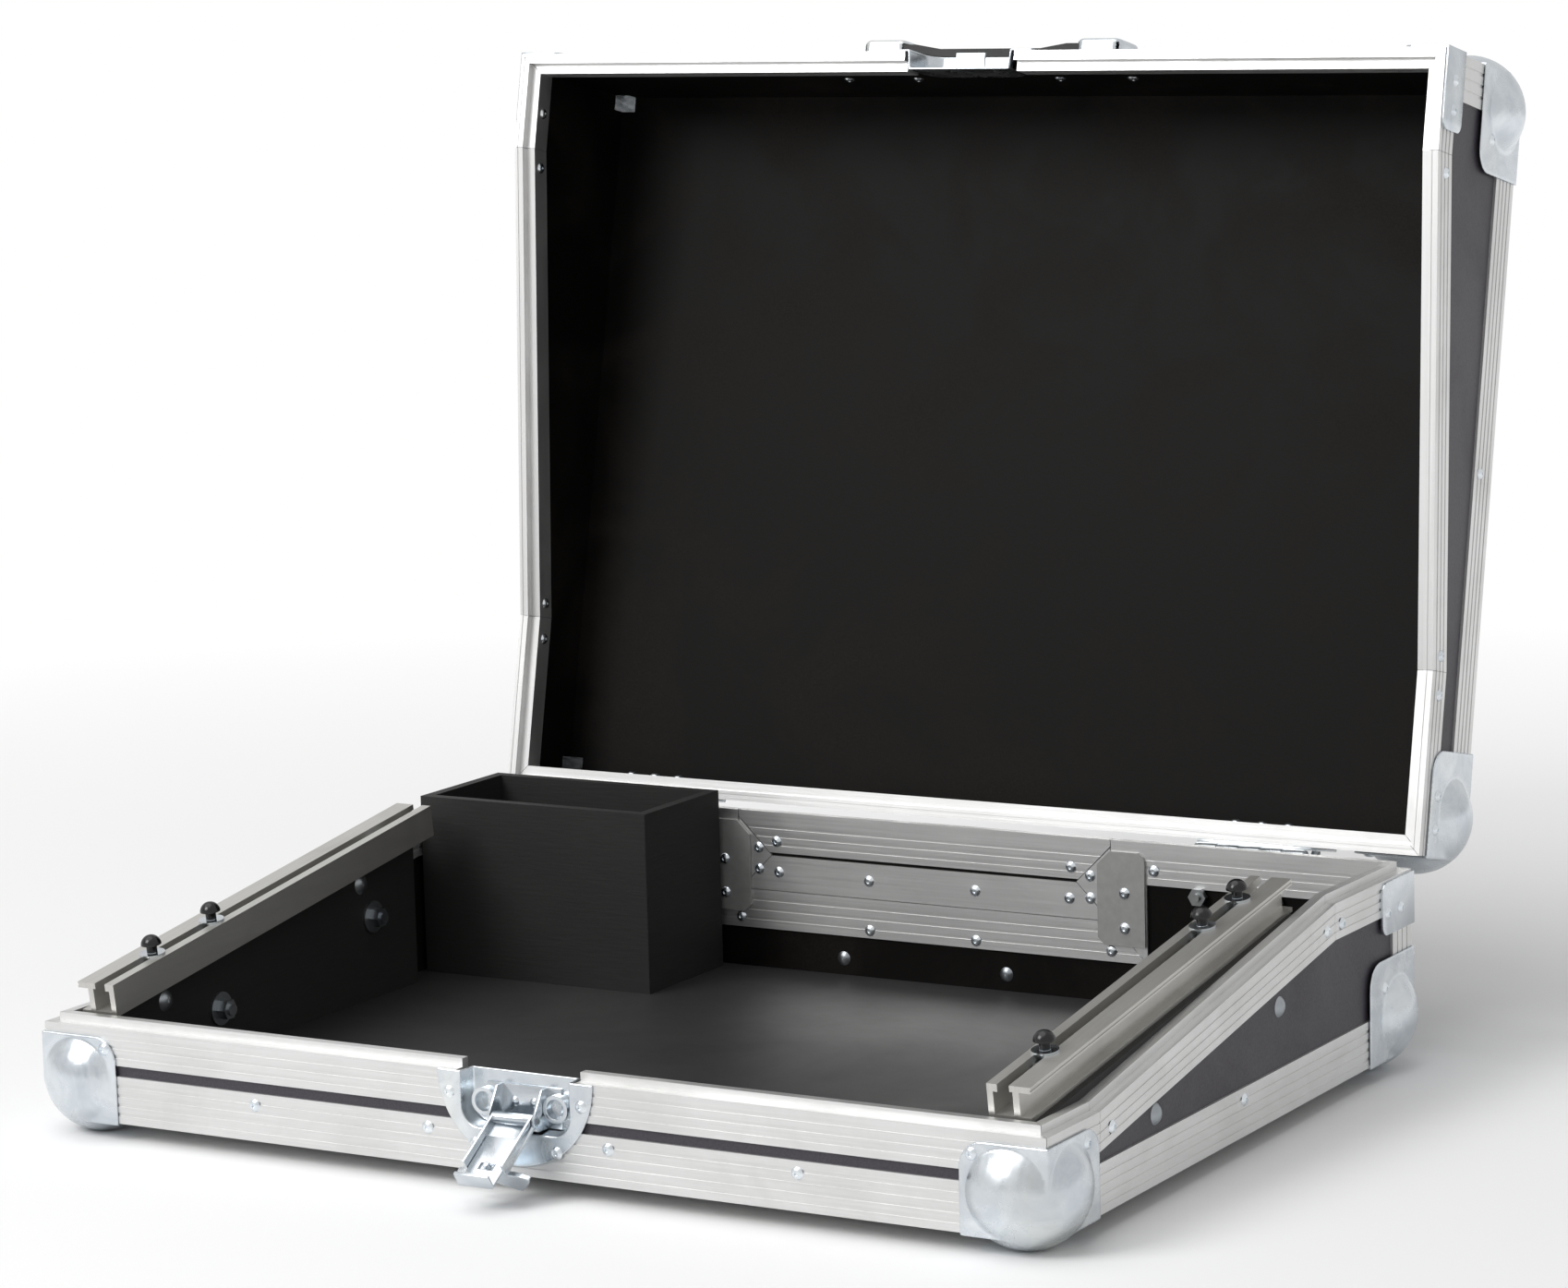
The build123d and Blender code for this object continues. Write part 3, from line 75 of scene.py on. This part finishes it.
def new_material(name, colour, metallic, roughness):
    """Make a material and hand back its tree, shader and object coordinates."""
    material = bpy.data.materials.new(name)
    material.use_nodes = True
    tree = material.node_tree
    shader = tree.nodes["Principled BSDF"]
    shader.inputs["Base Color"].default_value = (*colour, 1)
    shader.inputs["Metallic"].default_value = metallic
    shader.inputs["Roughness"].default_value = roughness
    place = tree.nodes.new("ShaderNodeTexCoord").outputs["Object"]
    return material, tree, shader, place


def dress(material, *names):
    """Give a material to nodes of the frame."""
    for name in names:
        slots = frame["nodes"][name].data.materials
        slots.clear()
        slots.append(material)


def new_group(name, outputs):
    """Make an empty node group that takes a vector and gives the named outputs."""
    group = bpy.data.node_groups.new(name, "ShaderNodeTree")
    group.interface.new_socket("Vector", in_out="INPUT", socket_type="NodeSocketVector")
    for label, kind in outputs:
        group.interface.new_socket(label, in_out="OUTPUT", socket_type=kind)
    start = group.nodes.new("NodeGroupInput")
    end = group.nodes.new("NodeGroupOutput")
    return group, start, end


def noise(tree, vector, scale, detail=4.0, roughness=0.55, distortion=0.0):
    """Add a noise texture on a vector and return its value output."""
    node = tree.nodes.new("ShaderNodeTexNoise")
    tree.links.new(vector, node.inputs["Vector"])
    node.inputs["Scale"].default_value = scale
    node.inputs["Detail"].default_value = detail
    node.inputs["Roughness"].default_value = roughness
    node.inputs["Distortion"].default_value = distortion
    return node.outputs["Fac"]


def remap(tree, value, low, high, new_low=0.0, new_high=1.0):
    """Stretch a value from one range to another, clamped."""
    node = tree.nodes.new("ShaderNodeMapRange")
    tree.links.new(value, node.inputs["Value"])
    node.inputs["From Min"].default_value = low
    node.inputs["From Max"].default_value = high
    node.inputs["To Min"].default_value = new_low
    node.inputs["To Max"].default_value = new_high
    return node.outputs["Result"]


def combine(tree, operation, first, second):
    """Join two values, or a value and a number, with a maths node."""
    node = tree.nodes.new("ShaderNodeMath")
    node.operation = operation
    for socket, source in zip(node.inputs, (first, second)):
        if isinstance(source, (int, float)):
            socket.default_value = source
        else:
            tree.links.new(source, socket)
    return node.outputs["Value"]


def scaled(tree, vector, factors):
    """Scale a vector by three factors."""
    node = tree.nodes.new("ShaderNodeMapping")
    tree.links.new(vector, node.inputs["Vector"])
    node.inputs["Scale"].default_value = factors
    return node.outputs["Vector"]


def blend_colour(tree, factor, first, second, blend="MIX"):
    """Mix two colours by a factor and return the colour output."""
    node = tree.nodes.new("ShaderNodeMix")
    node.data_type = "RGBA"
    node.blend_type = blend
    if isinstance(factor, float):
        node.inputs["Factor"].default_value = factor
    else:
        tree.links.new(factor, node.inputs["Factor"])
    colours = [socket for socket in node.inputs if socket.type == "RGBA"]
    for socket, source in zip(colours, (first, second)):
        if isinstance(source, tuple):
            socket.default_value = (*source, 1)
        else:
            tree.links.new(source, socket)
    return next(socket for socket in node.outputs if socket.type == "RGBA")


def bump(tree, shader, height, strength, distance):
    """Raise the surface by a height value through the shader's normal."""
    node = tree.nodes.new("ShaderNodeBump")
    node.inputs["Strength"].default_value = strength
    node.inputs["Distance"].default_value = distance
    tree.links.new(height, node.inputs["Height"])
    tree.links.new(node.outputs["Normal"], shader.inputs["Normal"])


def smudged(tree, marks, share, clean, dirty):
    """Blend a colour towards a dirtier one where the handling marks lie."""
    return blend_colour(tree, combine(tree, "MULTIPLY", marks.outputs["Smudge"], share), clean, dirty)


def add_group(tree, group, vector):
    """Place a node group in a material and feed it the object coordinates."""
    node = tree.nodes.new("ShaderNodeGroup")
    node.node_tree = group
    tree.links.new(vector, node.inputs["Vector"])
    return node


handling, start, end = new_group("handling_marks", [
    ("Smudge", "NodeSocketFloat"),
    ("Grain", "NodeSocketFloat"),
    ("Scratch", "NodeSocketFloat"),
])
patches = noise(handling, start.outputs["Vector"], 14.0, 5.0, 0.6, 0.6)
handling.links.new(remap(handling, patches, 0.46, 0.68), end.inputs["Smudge"])
handling.links.new(noise(handling, start.outputs["Vector"], 2600.0, 2.0), end.inputs["Grain"])
stretched = scaled(handling, start.outputs["Vector"], (30.0, 400.0, 60.0))
streaks = noise(handling, stretched, 1.0, 3.0, 0.5, 2.5)
handling.links.new(remap(handling, streaks, 0.66, 0.72), end.inputs["Scratch"])

bars_across = ["base_rim_front", "base_rim_back", "base_edges_across", "cutout_sill", "flap_edging",
               "lid_rim_front", "lid_rim_back", "lid_edges_across"]
bars_along = ["base_rim_sides", "base_edges_along"]
bars_upright = ["base_posts", "cutout_jambs", "lid_posts", "lid_rim_sides", "lid_edges_along"]
extrusion_bars = {
    "bars_across": ((12.0, 900.0, 900.0), bars_across),
    "bars_along": ((900.0, 12.0, 120.0), bars_along),
    "bars_upright": ((900.0, 120.0, 12.0), bars_upright),
}
for name, (grain_scale, nodes) in extrusion_bars.items():
    finish = "mill_aluminium_" + name
    material, tree, shader, place = new_material(finish, (0.86, 0.865, 0.87), 0.9, 0.38)
    marks = add_group(tree, handling, place)
    drawn = noise(tree, scaled(tree, place, grain_scale), 1.0, 3.0, 0.6)
    tint = blend_colour(tree, drawn, (0.66, 0.66, 0.655), (0.82, 0.82, 0.815))
    tint = smudged(tree, marks, 0.3, tint, (0.54, 0.535, 0.52))
    tree.links.new(tint, shader.inputs["Base Color"])
    rough = combine(tree, "ADD", remap(tree, marks.outputs["Smudge"], 0.0, 1.0, 0.34, 0.46),
                    remap(tree, drawn, 0.2, 0.8, 0.0, 0.08))
    tree.links.new(rough, shader.inputs["Roughness"])
    bump(tree, shader, combine(tree, "ADD", drawn, marks.outputs["Grain"]), 0.35, 0.00008)
    dress(material, *nodes)

# Laminated plywood panels: outside a dark plum-grey laminate with a fine pebble; their inside
# faces are coloured near black, far darker than the outside, with dust and rubbed patches.

lid_lean_sine, lid_lean_cosine = 0.2079, 0.9781
panel_insides = {
    "base_left_panel": (1, 0, 0),
    "base_right_panel": (-1, 0, 0),
    "base_front_panel": (0, 1, 0),
    "base_back_panel": (0, -1, 0),
    "flap_panel": (0, -1, 0),
    "lid_left_panel": (1, 0, 0),
    "lid_right_panel": (-1, 0, 0),
    "lid_top_panel": (0, -lid_lean_cosine, lid_lean_sine),
    "lid_front_panel": (0, -lid_lean_sine, -lid_lean_cosine),
    "lid_back_panel": (0, lid_lean_sine, lid_lean_cosine),
}
for name, inward in panel_insides.items():
    finish = "laminate_" + name
    material, tree, shader, place = new_material(finish, (0.045, 0.04, 0.05), 0.0, 0.45)
    marks = add_group(tree, handling, place)
    depth = tree.nodes.new("ShaderNodeVectorMath")
    depth.operation = "DOT_PRODUCT"
    tree.links.new(place, depth.inputs[0])
    depth.inputs[1].default_value = inward
    low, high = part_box(name)
    middle = (Vector(low) + Vector(high)) / 2
    inside = combine(tree, "GREATER_THAN", depth.outputs["Value"], middle.dot(Vector(inward)))
    pebble = noise(tree, place, 900.0, 2.0)
    speckle = remap(tree, pebble, 0.35, 0.65)
    outer = blend_colour(tree, speckle, (0.040, 0.036, 0.046), (0.056, 0.051, 0.062))
    grit = remap(tree, pebble, 0.3, 0.7, 0.2, 0.6)
    dusty = combine(tree, "MULTIPLY", marks.outputs["Smudge"], grit)
    inner = blend_colour(tree, dusty, (0.0030, 0.0024, 0.0020), (0.017, 0.0145, 0.0125))
    tree.links.new(blend_colour(tree, inside, outer, inner), shader.inputs["Base Color"])
    rough = combine(tree, "ADD", remap(tree, inside, 0.0, 1.0, 0.42, 0.5),
                    remap(tree, marks.outputs["Smudge"], 0.0, 1.0, 0.0, 0.12))
    tree.links.new(rough, shader.inputs["Roughness"])
    sheen = remap(tree, inside, 0.0, 1.0, 0.4, 0.12)
    tree.links.new(sheen, shader.inputs["Specular IOR Level"])
    bump(tree, shader, pebble, 0.4, 0.0001)
    dress(material, name)

# Floor board: the same black-stained plywood, rubbed to a dark satin grey by the gear
# that has stood on it, with a short chalky scratch.

finish = "worn_floor_board"
material, tree, shader, place = new_material(finish, (0.026, 0.026, 0.027), 0.0, 0.42)
marks = add_group(tree, handling, place)
cloud = noise(tree, place, 7.0, 6.0, 0.65, 0.4)
worn = remap(tree, cloud, 0.35, 0.7)
tint = blend_colour(tree, worn, (0.018, 0.018, 0.019), (0.040, 0.039, 0.038))
chalk = combine(tree, "MULTIPLY", marks.outputs["Scratch"], 0.25)
tint = blend_colour(tree, chalk, tint, (0.10, 0.10, 0.095))
tree.links.new(tint, shader.inputs["Base Color"])
tree.links.new(remap(tree, cloud, 0.3, 0.75, 0.48, 0.34), shader.inputs["Roughness"])
bump(tree, shader, combine(tree, "ADD", cloud, marks.outputs["Grain"]), 0.2, 0.0001)
dress(material, "base_floor")

# Pressed steel fittings: ball corners, braces, latch and hinges, zinc plated and passivated,
# with the cloudy bluish bloom and the pale yellow tinge that such plating has.

zinc, start, end = new_group("zinc_bloom", [("Tint", "NodeSocketColor"), ("Cloud", "NodeSocketFloat")])
cloud = noise(zinc, start.outputs["Vector"], 45.0, 5.0, 0.6, 0.8)
warm = noise(zinc, start.outputs["Vector"], 22.0, 3.0, 0.5)
bluish = remap(zinc, cloud, 0.3, 0.7)
tint = blend_colour(zinc, bluish, (0.56, 0.61, 0.66), (0.80, 0.84, 0.87))
yellowish = remap(zinc, warm, 0.55, 0.75, 0.0, 0.35)
tint = blend_colour(zinc, yellowish, tint, (0.80, 0.77, 0.66))
zinc.links.new(tint, end.inputs["Tint"])
zinc.links.new(cloud, end.inputs["Cloud"])


def zinc_material(name, low_rough, high_rough, darken=1.0):
    """Make a zinc plated steel, smoother or duller, lighter or darker."""
    material, tree, shader, place = new_material(name, (0.7, 0.74, 0.78), 1.0, 0.25)
    bloom = add_group(tree, zinc, place)
    marks = add_group(tree, handling, place)
    dirty = (0.45 * darken, 0.46 * darken, 0.47 * darken)
    tint = smudged(tree, marks, 0.3, bloom.outputs["Tint"], dirty)
    tint = blend_colour(tree, 1.0, tint, (darken, darken, darken), "MULTIPLY")
    tree.links.new(tint, shader.inputs["Base Color"])
    rough = remap(tree, bloom.outputs["Cloud"], 0.3, 0.7, low_rough, high_rough)
    tree.links.new(rough, shader.inputs["Roughness"])
    bump(tree, shader, combine(tree, "ADD", bloom.outputs["Cloud"], marks.outputs["Grain"]), 0.25, 0.0001)
    return material


seam_reach = 0.00001


def own_copy(node, suffix):
    """Copy a frame node as a new piece that can be worked on, with its seams closed."""
    bpy.ops.object.select_all(action="DESELECT")
    piece = bpy.data.objects.new(node + suffix, frame["nodes"][node].data.copy())
    bpy.context.collection.objects.link(piece)
    bpy.context.view_layer.objects.active = piece
    piece.select_set(True)
    bpy.ops.object.mode_set(mode="EDIT")
    bpy.ops.mesh.select_all(action="SELECT")
    bpy.ops.mesh.remove_doubles(threshold=seam_reach)
    bpy.ops.object.mode_set(mode="OBJECT")
    return piece


def hand_over(piece, node, material):
    """Give a finished piece its material, body and slot in place of the frame's node."""
    piece.data.materials.clear()
    piece.data.materials.append(material)
    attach(piece, body_of(frame["nodes"][node])[0])
    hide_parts(node)


def pressed(node, material, voxel, passes, keep):
    """Draw a node over as one pressing, its creases run out as the press leaves them."""
    piece = own_copy(node, "_pressed")
    skin = piece.modifiers.new("skin", "REMESH")
    skin.mode = "VOXEL"
    skin.voxel_size = voxel
    soften = piece.modifiers.new("soften", "SMOOTH")
    soften.factor = 0.5
    soften.iterations = passes
    thin = piece.modifiers.new("thin", "DECIMATE")
    thin.ratio = keep
    for modifier in ("skin", "soften", "thin"):
        bpy.ops.object.modifier_apply(modifier=modifier)
    bpy.ops.object.shade_smooth()
    hand_over(piece, node, material)


def eased(node, material, width):
    """Round the sharp edges of a node made from sheet or bar."""
    piece = own_copy(node, "_eased")
    ease = piece.modifiers.new("ease", "BEVEL")
    ease.width = width
    ease.segments = 2
    ease.limit_method = "ANGLE"
    ease.angle_limit = math.radians(40)
    bpy.ops.object.modifier_apply(modifier="ease")
    bpy.ops.object.shade_smooth_by_angle(angle=math.radians(35))
    hand_over(piece, node, material)


corner_voxel = 0.0006
fitting_voxel = 0.00035
sheet_edge_round = 0.00025
zinc_fittings = zinc_material("zinc_fittings", 0.18, 0.34)
dark_zinc = zinc_material("dark_zinc", 0.28, 0.42, darken=0.6)
for node in ("base_ball_corners", "lid_ball_corners"):
    pressed(node, zinc_fittings, corner_voxel, passes=10, keep=0.3)
for node in ("base_latch_dish", "lid_latch_dish", "handle_caps", "latch_wing"):
    pressed(node, zinc_fittings, fitting_voxel, passes=6, keep=0.4)
for node in ("latch_bracket", "latch_arm", "latch_hook", "latch_keeper", "base_braces", "lid_braces",
             "base_hinge_leaves", "lid_hinge_leaves"):
    eased(node, zinc_fittings, sheet_edge_round)
dress(dark_zinc, "hinge_pins", "hinge_nuts", "latch_pin")
dress(dark_zinc, "side_bolts", "bearer_screws", "wall_screws")
bright_zinc = zinc_material("bright_rivets", 0.2, 0.32, darken=1.15)
dress(bright_zinc, "rack_nut_loose")

# Blind rivets: a domed head drawn down on its flat rim, with the hole that the snapped
# mandrel leaves in the middle. Each stands where the frame has its plain head.

rivet_sides = 20
rim_share = 0.97
rivet_steps = [
    (0.00025, 0.00035),
    (0.00045, 0.0004),
    (0.0007, 0.0003),
    (0.0005, 0.00008),
    (0.00012, -0.0006),
]


def islands(node):
    """Group the points of a frame node into its separate solids."""
    mesh = frame["nodes"][node].data
    parent = {}

    def root(key):
        while parent[key] != key:
            parent[key] = parent[parent[key]]
            key = parent[key]
        return key

    keys = [tuple(round(value, 6) for value in vertex.co) for vertex in mesh.vertices]
    for key in keys:
        parent.setdefault(key, key)
    for edge in mesh.edges:
        first, second = (root(keys[index]) for index in edge.vertices)
        parent[first] = second
    groups = {}
    for key in parent:
        groups.setdefault(root(key), []).append(Vector(key))
    return list(groups.values())


def seat_of(points):
    """Find the flat back of a domed head: its middle, the way it faces and its radius."""
    apex = min(points, key=lambda point: max((point - other).length for other in points))
    rim_reach = max((point - apex).length for point in points)
    rim = [point for point in points if (point - apex).length > rim_share * rim_reach]
    centre = sum(rim, Vector()) / len(rim)
    return centre, (apex - centre).normalized(), max((point - centre).length for point in rim)


def rivet_heads(node):
    """Model one rivet head and set a copy on every head of a frame node."""
    heads = []
    for points in islands(node):
        centre, outward, radius = seat_of(points)
        bpy.ops.object.select_all(action="DESELECT")
        if not heads:
            bpy.ops.mesh.primitive_circle_add(vertices=rivet_sides, radius=radius, fill_type="NGON")
            bpy.ops.object.mode_set(mode="EDIT")
            bpy.ops.mesh.select_all(action="SELECT")
            for thickness, depth in rivet_steps:
                bpy.ops.mesh.inset(thickness=thickness, depth=depth)
            bpy.ops.object.mode_set(mode="OBJECT")
            head = bpy.context.object
            bpy.ops.object.shade_smooth_by_angle(angle=math.radians(50))
            unit = radius
            shape = head.data
        else:
            head = bpy.data.objects.new(node + "_head", shape.copy())
            bpy.context.collection.objects.link(head)
        turn = outward.to_track_quat("Z", "Y").to_matrix().to_4x4()
        head.matrix_world = Matrix.Translation(centre) @ turn @ Matrix.Scale(radius / unit, 4)
        heads.append(head)
    bpy.ops.object.select_all(action="DESELECT")
    for head in heads:
        head.select_set(True)
    bpy.context.view_layer.objects.active = heads[0]
    bpy.ops.object.join()
    bpy.ops.object.transform_apply(location=True, rotation=True, scale=True)
    joined = bpy.context.object
    joined.name = node + "_domed"
    hand_over(joined, node, bright_zinc)


for node in ("base_rivets", "lid_rivets", "flap_rivets"):
    rivet_heads(node)

# Guide plates beside the cable flap: cut from flat sheet with their corners taken off, tumbled
# to a matt grey, and riveted in pairs inside and outside so that the flap slides between them.

finish = "matt_guide_plate"
material, tree, shader, place = new_material(finish, (0.40, 0.40, 0.39), 0.6, 0.55)
marks = add_group(tree, handling, place)
mottle = noise(tree, place, 260.0, 4.0)
tint = blend_colour(tree, mottle, (0.34, 0.34, 0.335), (0.48, 0.48, 0.47))
tree.links.new(tint, shader.inputs["Base Color"])
bump(tree, shader, marks.outputs["Grain"], 0.3, 0.0001)
dress(material, "cutout_straps")

# Rack rails: two roll-formed steel channels, open along the top for the channel nuts, lying
# on the sloping bearers. Their satin coat is rubbed along the lips.

material, tree, shader, place = new_material("satin_rail", (0.58, 0.57, 0.54), 0.85, 0.42)
marks = add_group(tree, handling, place)
drawn = noise(tree, scaled(tree, place, (900.0, 14.0, 160.0)), 1.0, 3.0, 0.6)
tint = blend_colour(tree, drawn, (0.52, 0.51, 0.485), (0.66, 0.65, 0.62))
tint = smudged(tree, marks, 0.4, tint, (0.40, 0.39, 0.37))
tree.links.new(tint, shader.inputs["Base Color"])
bump(tree, shader, combine(tree, "ADD", drawn, marks.outputs["Grain"]), 0.3, 0.00008)
dress(material, "rack_rails")

# Black woodwork: the two rail bearers, bolted to the side walls, and the accessory box in the
# rear corner. Both are sawn from plywood and stained, with a dry face.

finish = "black_stained_wood"
material, tree, shader, place = new_material(finish, (0.008, 0.0075, 0.0075), 0.0, 0.7)
marks = add_group(tree, handling, place)
fibre = noise(tree, scaled(tree, place, (60.0, 60.0, 700.0)), 1.0, 4.0, 0.6)
tint = blend_colour(tree, fibre, (0.0055, 0.005, 0.005), (0.015, 0.014, 0.0135))
tint = smudged(tree, marks, 0.35, tint, (0.022, 0.020, 0.018))
tree.links.new(tint, shader.inputs["Base Color"])
bump(tree, shader, fibre, 0.5, 0.0002)
dress(material, "rail_bearers", "accessory_box")

# Rack screws: black oxide domed screws on a bright washer, over their zinc channel nut. All
# five stand at one height over the sloping rails, so that height parts steel from black.

rail_slope = math.radians(8.3)
screw_head_drop = 0.00840
material, tree, shader, place = new_material("black_oxide", (0.012, 0.012, 0.013), 1.0, 0.28)
marks = add_group(tree, handling, place)
bloom = add_group(tree, zinc, place)
height = tree.nodes.new("ShaderNodeVectorMath")
height.operation = "DOT_PRODUCT"
tree.links.new(place, height.inputs[0])
off_rail = Vector((0, -math.sin(rail_slope), math.cos(rail_slope)))
height.inputs[1].default_value = off_rail
screw_points = frame["nodes"]["rack_screw_1"].data.vertices
highest = max(vertex.co.dot(off_rail) for vertex in screw_points)
black = combine(tree, "GREATER_THAN", height.outputs["Value"], highest - screw_head_drop)
tint = blend_colour(tree, black, bloom.outputs["Tint"], (0.010, 0.010, 0.011))
tree.links.new(tint, shader.inputs["Base Color"])
tree.links.new(remap(tree, black, 0.0, 1.0, 1.0, 0.15), shader.inputs["Metallic"])
rough = remap(tree, marks.outputs["Smudge"], 0.0, 1.0, 0.16, 0.36)
tree.links.new(rough, shader.inputs["Roughness"])
bump(tree, shader, marks.outputs["Grain"], 0.3, 0.0001)
dress(material, *["rack_screw_%d" % number for number in range(1, 6)])

# Handle strap: moulded black rubber over a spring steel band, held by its ends in the two
# steel caps on the front of the lid, with a little room to slide.

material, tree, shader, place = new_material("strap_rubber", (0.018, 0.018, 0.019), 0.0, 0.55)
marks = add_group(tree, handling, place)
tint = blend_colour(tree, marks.outputs["Smudge"], (0.014, 0.014, 0.015), (0.030, 0.029, 0.028))
tree.links.new(tint, shader.inputs["Base Color"])
bump(tree, shader, marks.outputs["Grain"], 0.5, 0.0002)
dress(material, "handle_strap")

# Photographer's table: a plain pale sheet that the case stands on. It keeps the case's shadow
# close by and fades to the white of the surround further off.

table_reach = 6.0
shadow_reach = 0.45
white_from = 1.5
bpy.ops.object.select_all(action="DESELECT")
bpy.ops.mesh.primitive_plane_add(size=2 * table_reach)
table = bpy.context.object
table.name = "pale_floor"
material, tree, shader, place = new_material("pale_sheet", (0.93, 0.93, 0.93), 0.0, 0.9)
tint = blend_colour(tree, noise(tree, place, 3.0), (0.925, 0.925, 0.925), (0.935, 0.935, 0.935))
tree.links.new(tint, shader.inputs["Base Color"])
glow = tree.nodes.new("ShaderNodeEmission")
glow.inputs["Color"].default_value = (1, 1, 1, 1)
glow.inputs["Strength"].default_value = 1.0
away = tree.nodes.new("ShaderNodeVectorMath")
away.operation = "LENGTH"
tree.links.new(place, away.inputs[0])
sight = tree.nodes.new("ShaderNodeLightPath")
seen = combine(tree, "MAXIMUM", sight.outputs["Is Camera Ray"], sight.outputs["Is Transmission Ray"])
seen = combine(tree, "MAXIMUM", seen, sight.outputs["Is Glossy Ray"])
distance = remap(tree, away.outputs["Value"], shadow_reach, white_from)
far_off = combine(tree, "MULTIPLY", distance, seen)
fade = tree.nodes.new("ShaderNodeMixShader")
tree.links.new(far_off, fade.inputs["Fac"])
tree.links.new(shader.outputs["BSDF"], fade.inputs[1])
tree.links.new(glow.outputs["Emission"], fade.inputs[2])
tree.links.new(fade.outputs["Shader"], tree.nodes["Material Output"].inputs["Surface"])
table.data.materials.append(material)

# Studio: a white surround for the camera, dimmer in the metal and dimmer still as fill, with
# a large soft lamp above the left front corner and a broad even light from overhead.

fill_strength = 0.38
metal_share = 0.55
world = bpy.data.worlds.new("white_surround")
bpy.context.scene.world = world
world.use_nodes = True
tree = world.node_tree
surround = tree.nodes["Background"]
surround.inputs["Color"].default_value = (1, 1, 1, 1)
path = tree.nodes.new("ShaderNodeLightPath")
seen = combine(tree, "MAXIMUM", path.outputs["Is Camera Ray"], path.outputs["Is Transmission Ray"])
in_metal = combine(tree, "MULTIPLY", path.outputs["Is Glossy Ray"], metal_share)
seen = combine(tree, "MAXIMUM", seen, in_metal)
tree.links.new(remap(tree, seen, 0.0, 1.0, fill_strength, 1.0), surround.inputs["Strength"])

key_spot, key_aim = Vector((-0.9, -1.7, 1.5)), Vector((0, -0.1, 0.15))
key = bpy.data.lights.new("key_lamp", "AREA")
key.size = 1.0
key.energy = 26
holder = bpy.data.objects.new("key_lamp", key)
bpy.context.collection.objects.link(holder)
holder.location = key_spot
holder.rotation_mode = "QUATERNION"
holder.rotation_quaternion = (key_aim - key_spot).to_track_quat("-Z", "Y")

overhead = bpy.data.lights.new("overhead_light", "SUN")
overhead.energy = 1.1
overhead.angle = math.radians(60)
holder = bpy.data.objects.new("overhead_light", overhead)
bpy.context.collection.objects.link(holder)
holder.rotation_euler = (math.radians(12), math.radians(-14), 0)

# Camera, standing where the photograph was taken from. Its place, turn and focal length come
# from a fit to the case's corners and upright edges.

camera_spot = Vector((1.1337, -1.8854, 0.5506))
camera_yaw = math.radians(-30.35)
camera_pitch = math.radians(-8.72)
camera_roll = math.radians(-1.52)
photo_width = 1698
focal_pixels = 5238.8
sensor_width = 36.0
forward = Vector((
    math.sin(camera_yaw) * math.cos(camera_pitch),
    math.cos(camera_yaw) * math.cos(camera_pitch),
    math.sin(camera_pitch),
))
level_right = Vector((math.cos(camera_yaw), -math.sin(camera_yaw), 0))
level_up = level_right.cross(forward)
right = math.cos(camera_roll) * level_right + math.sin(camera_roll) * level_up
up = math.cos(camera_roll) * level_up - math.sin(camera_roll) * level_right
lens = bpy.data.cameras.new("photo_camera")
lens.sensor_width = sensor_width
lens.lens = focal_pixels / photo_width * sensor_width
camera = bpy.data.objects.new("photo_camera", lens)
bpy.context.collection.objects.link(camera)
turned = Matrix((right, up, -forward)).transposed().to_4x4()
camera.matrix_world = Matrix.Translation(camera_spot) @ turned
bpy.context.scene.camera = camera
bpy.context.scene.view_settings.view_transform = "Standard"
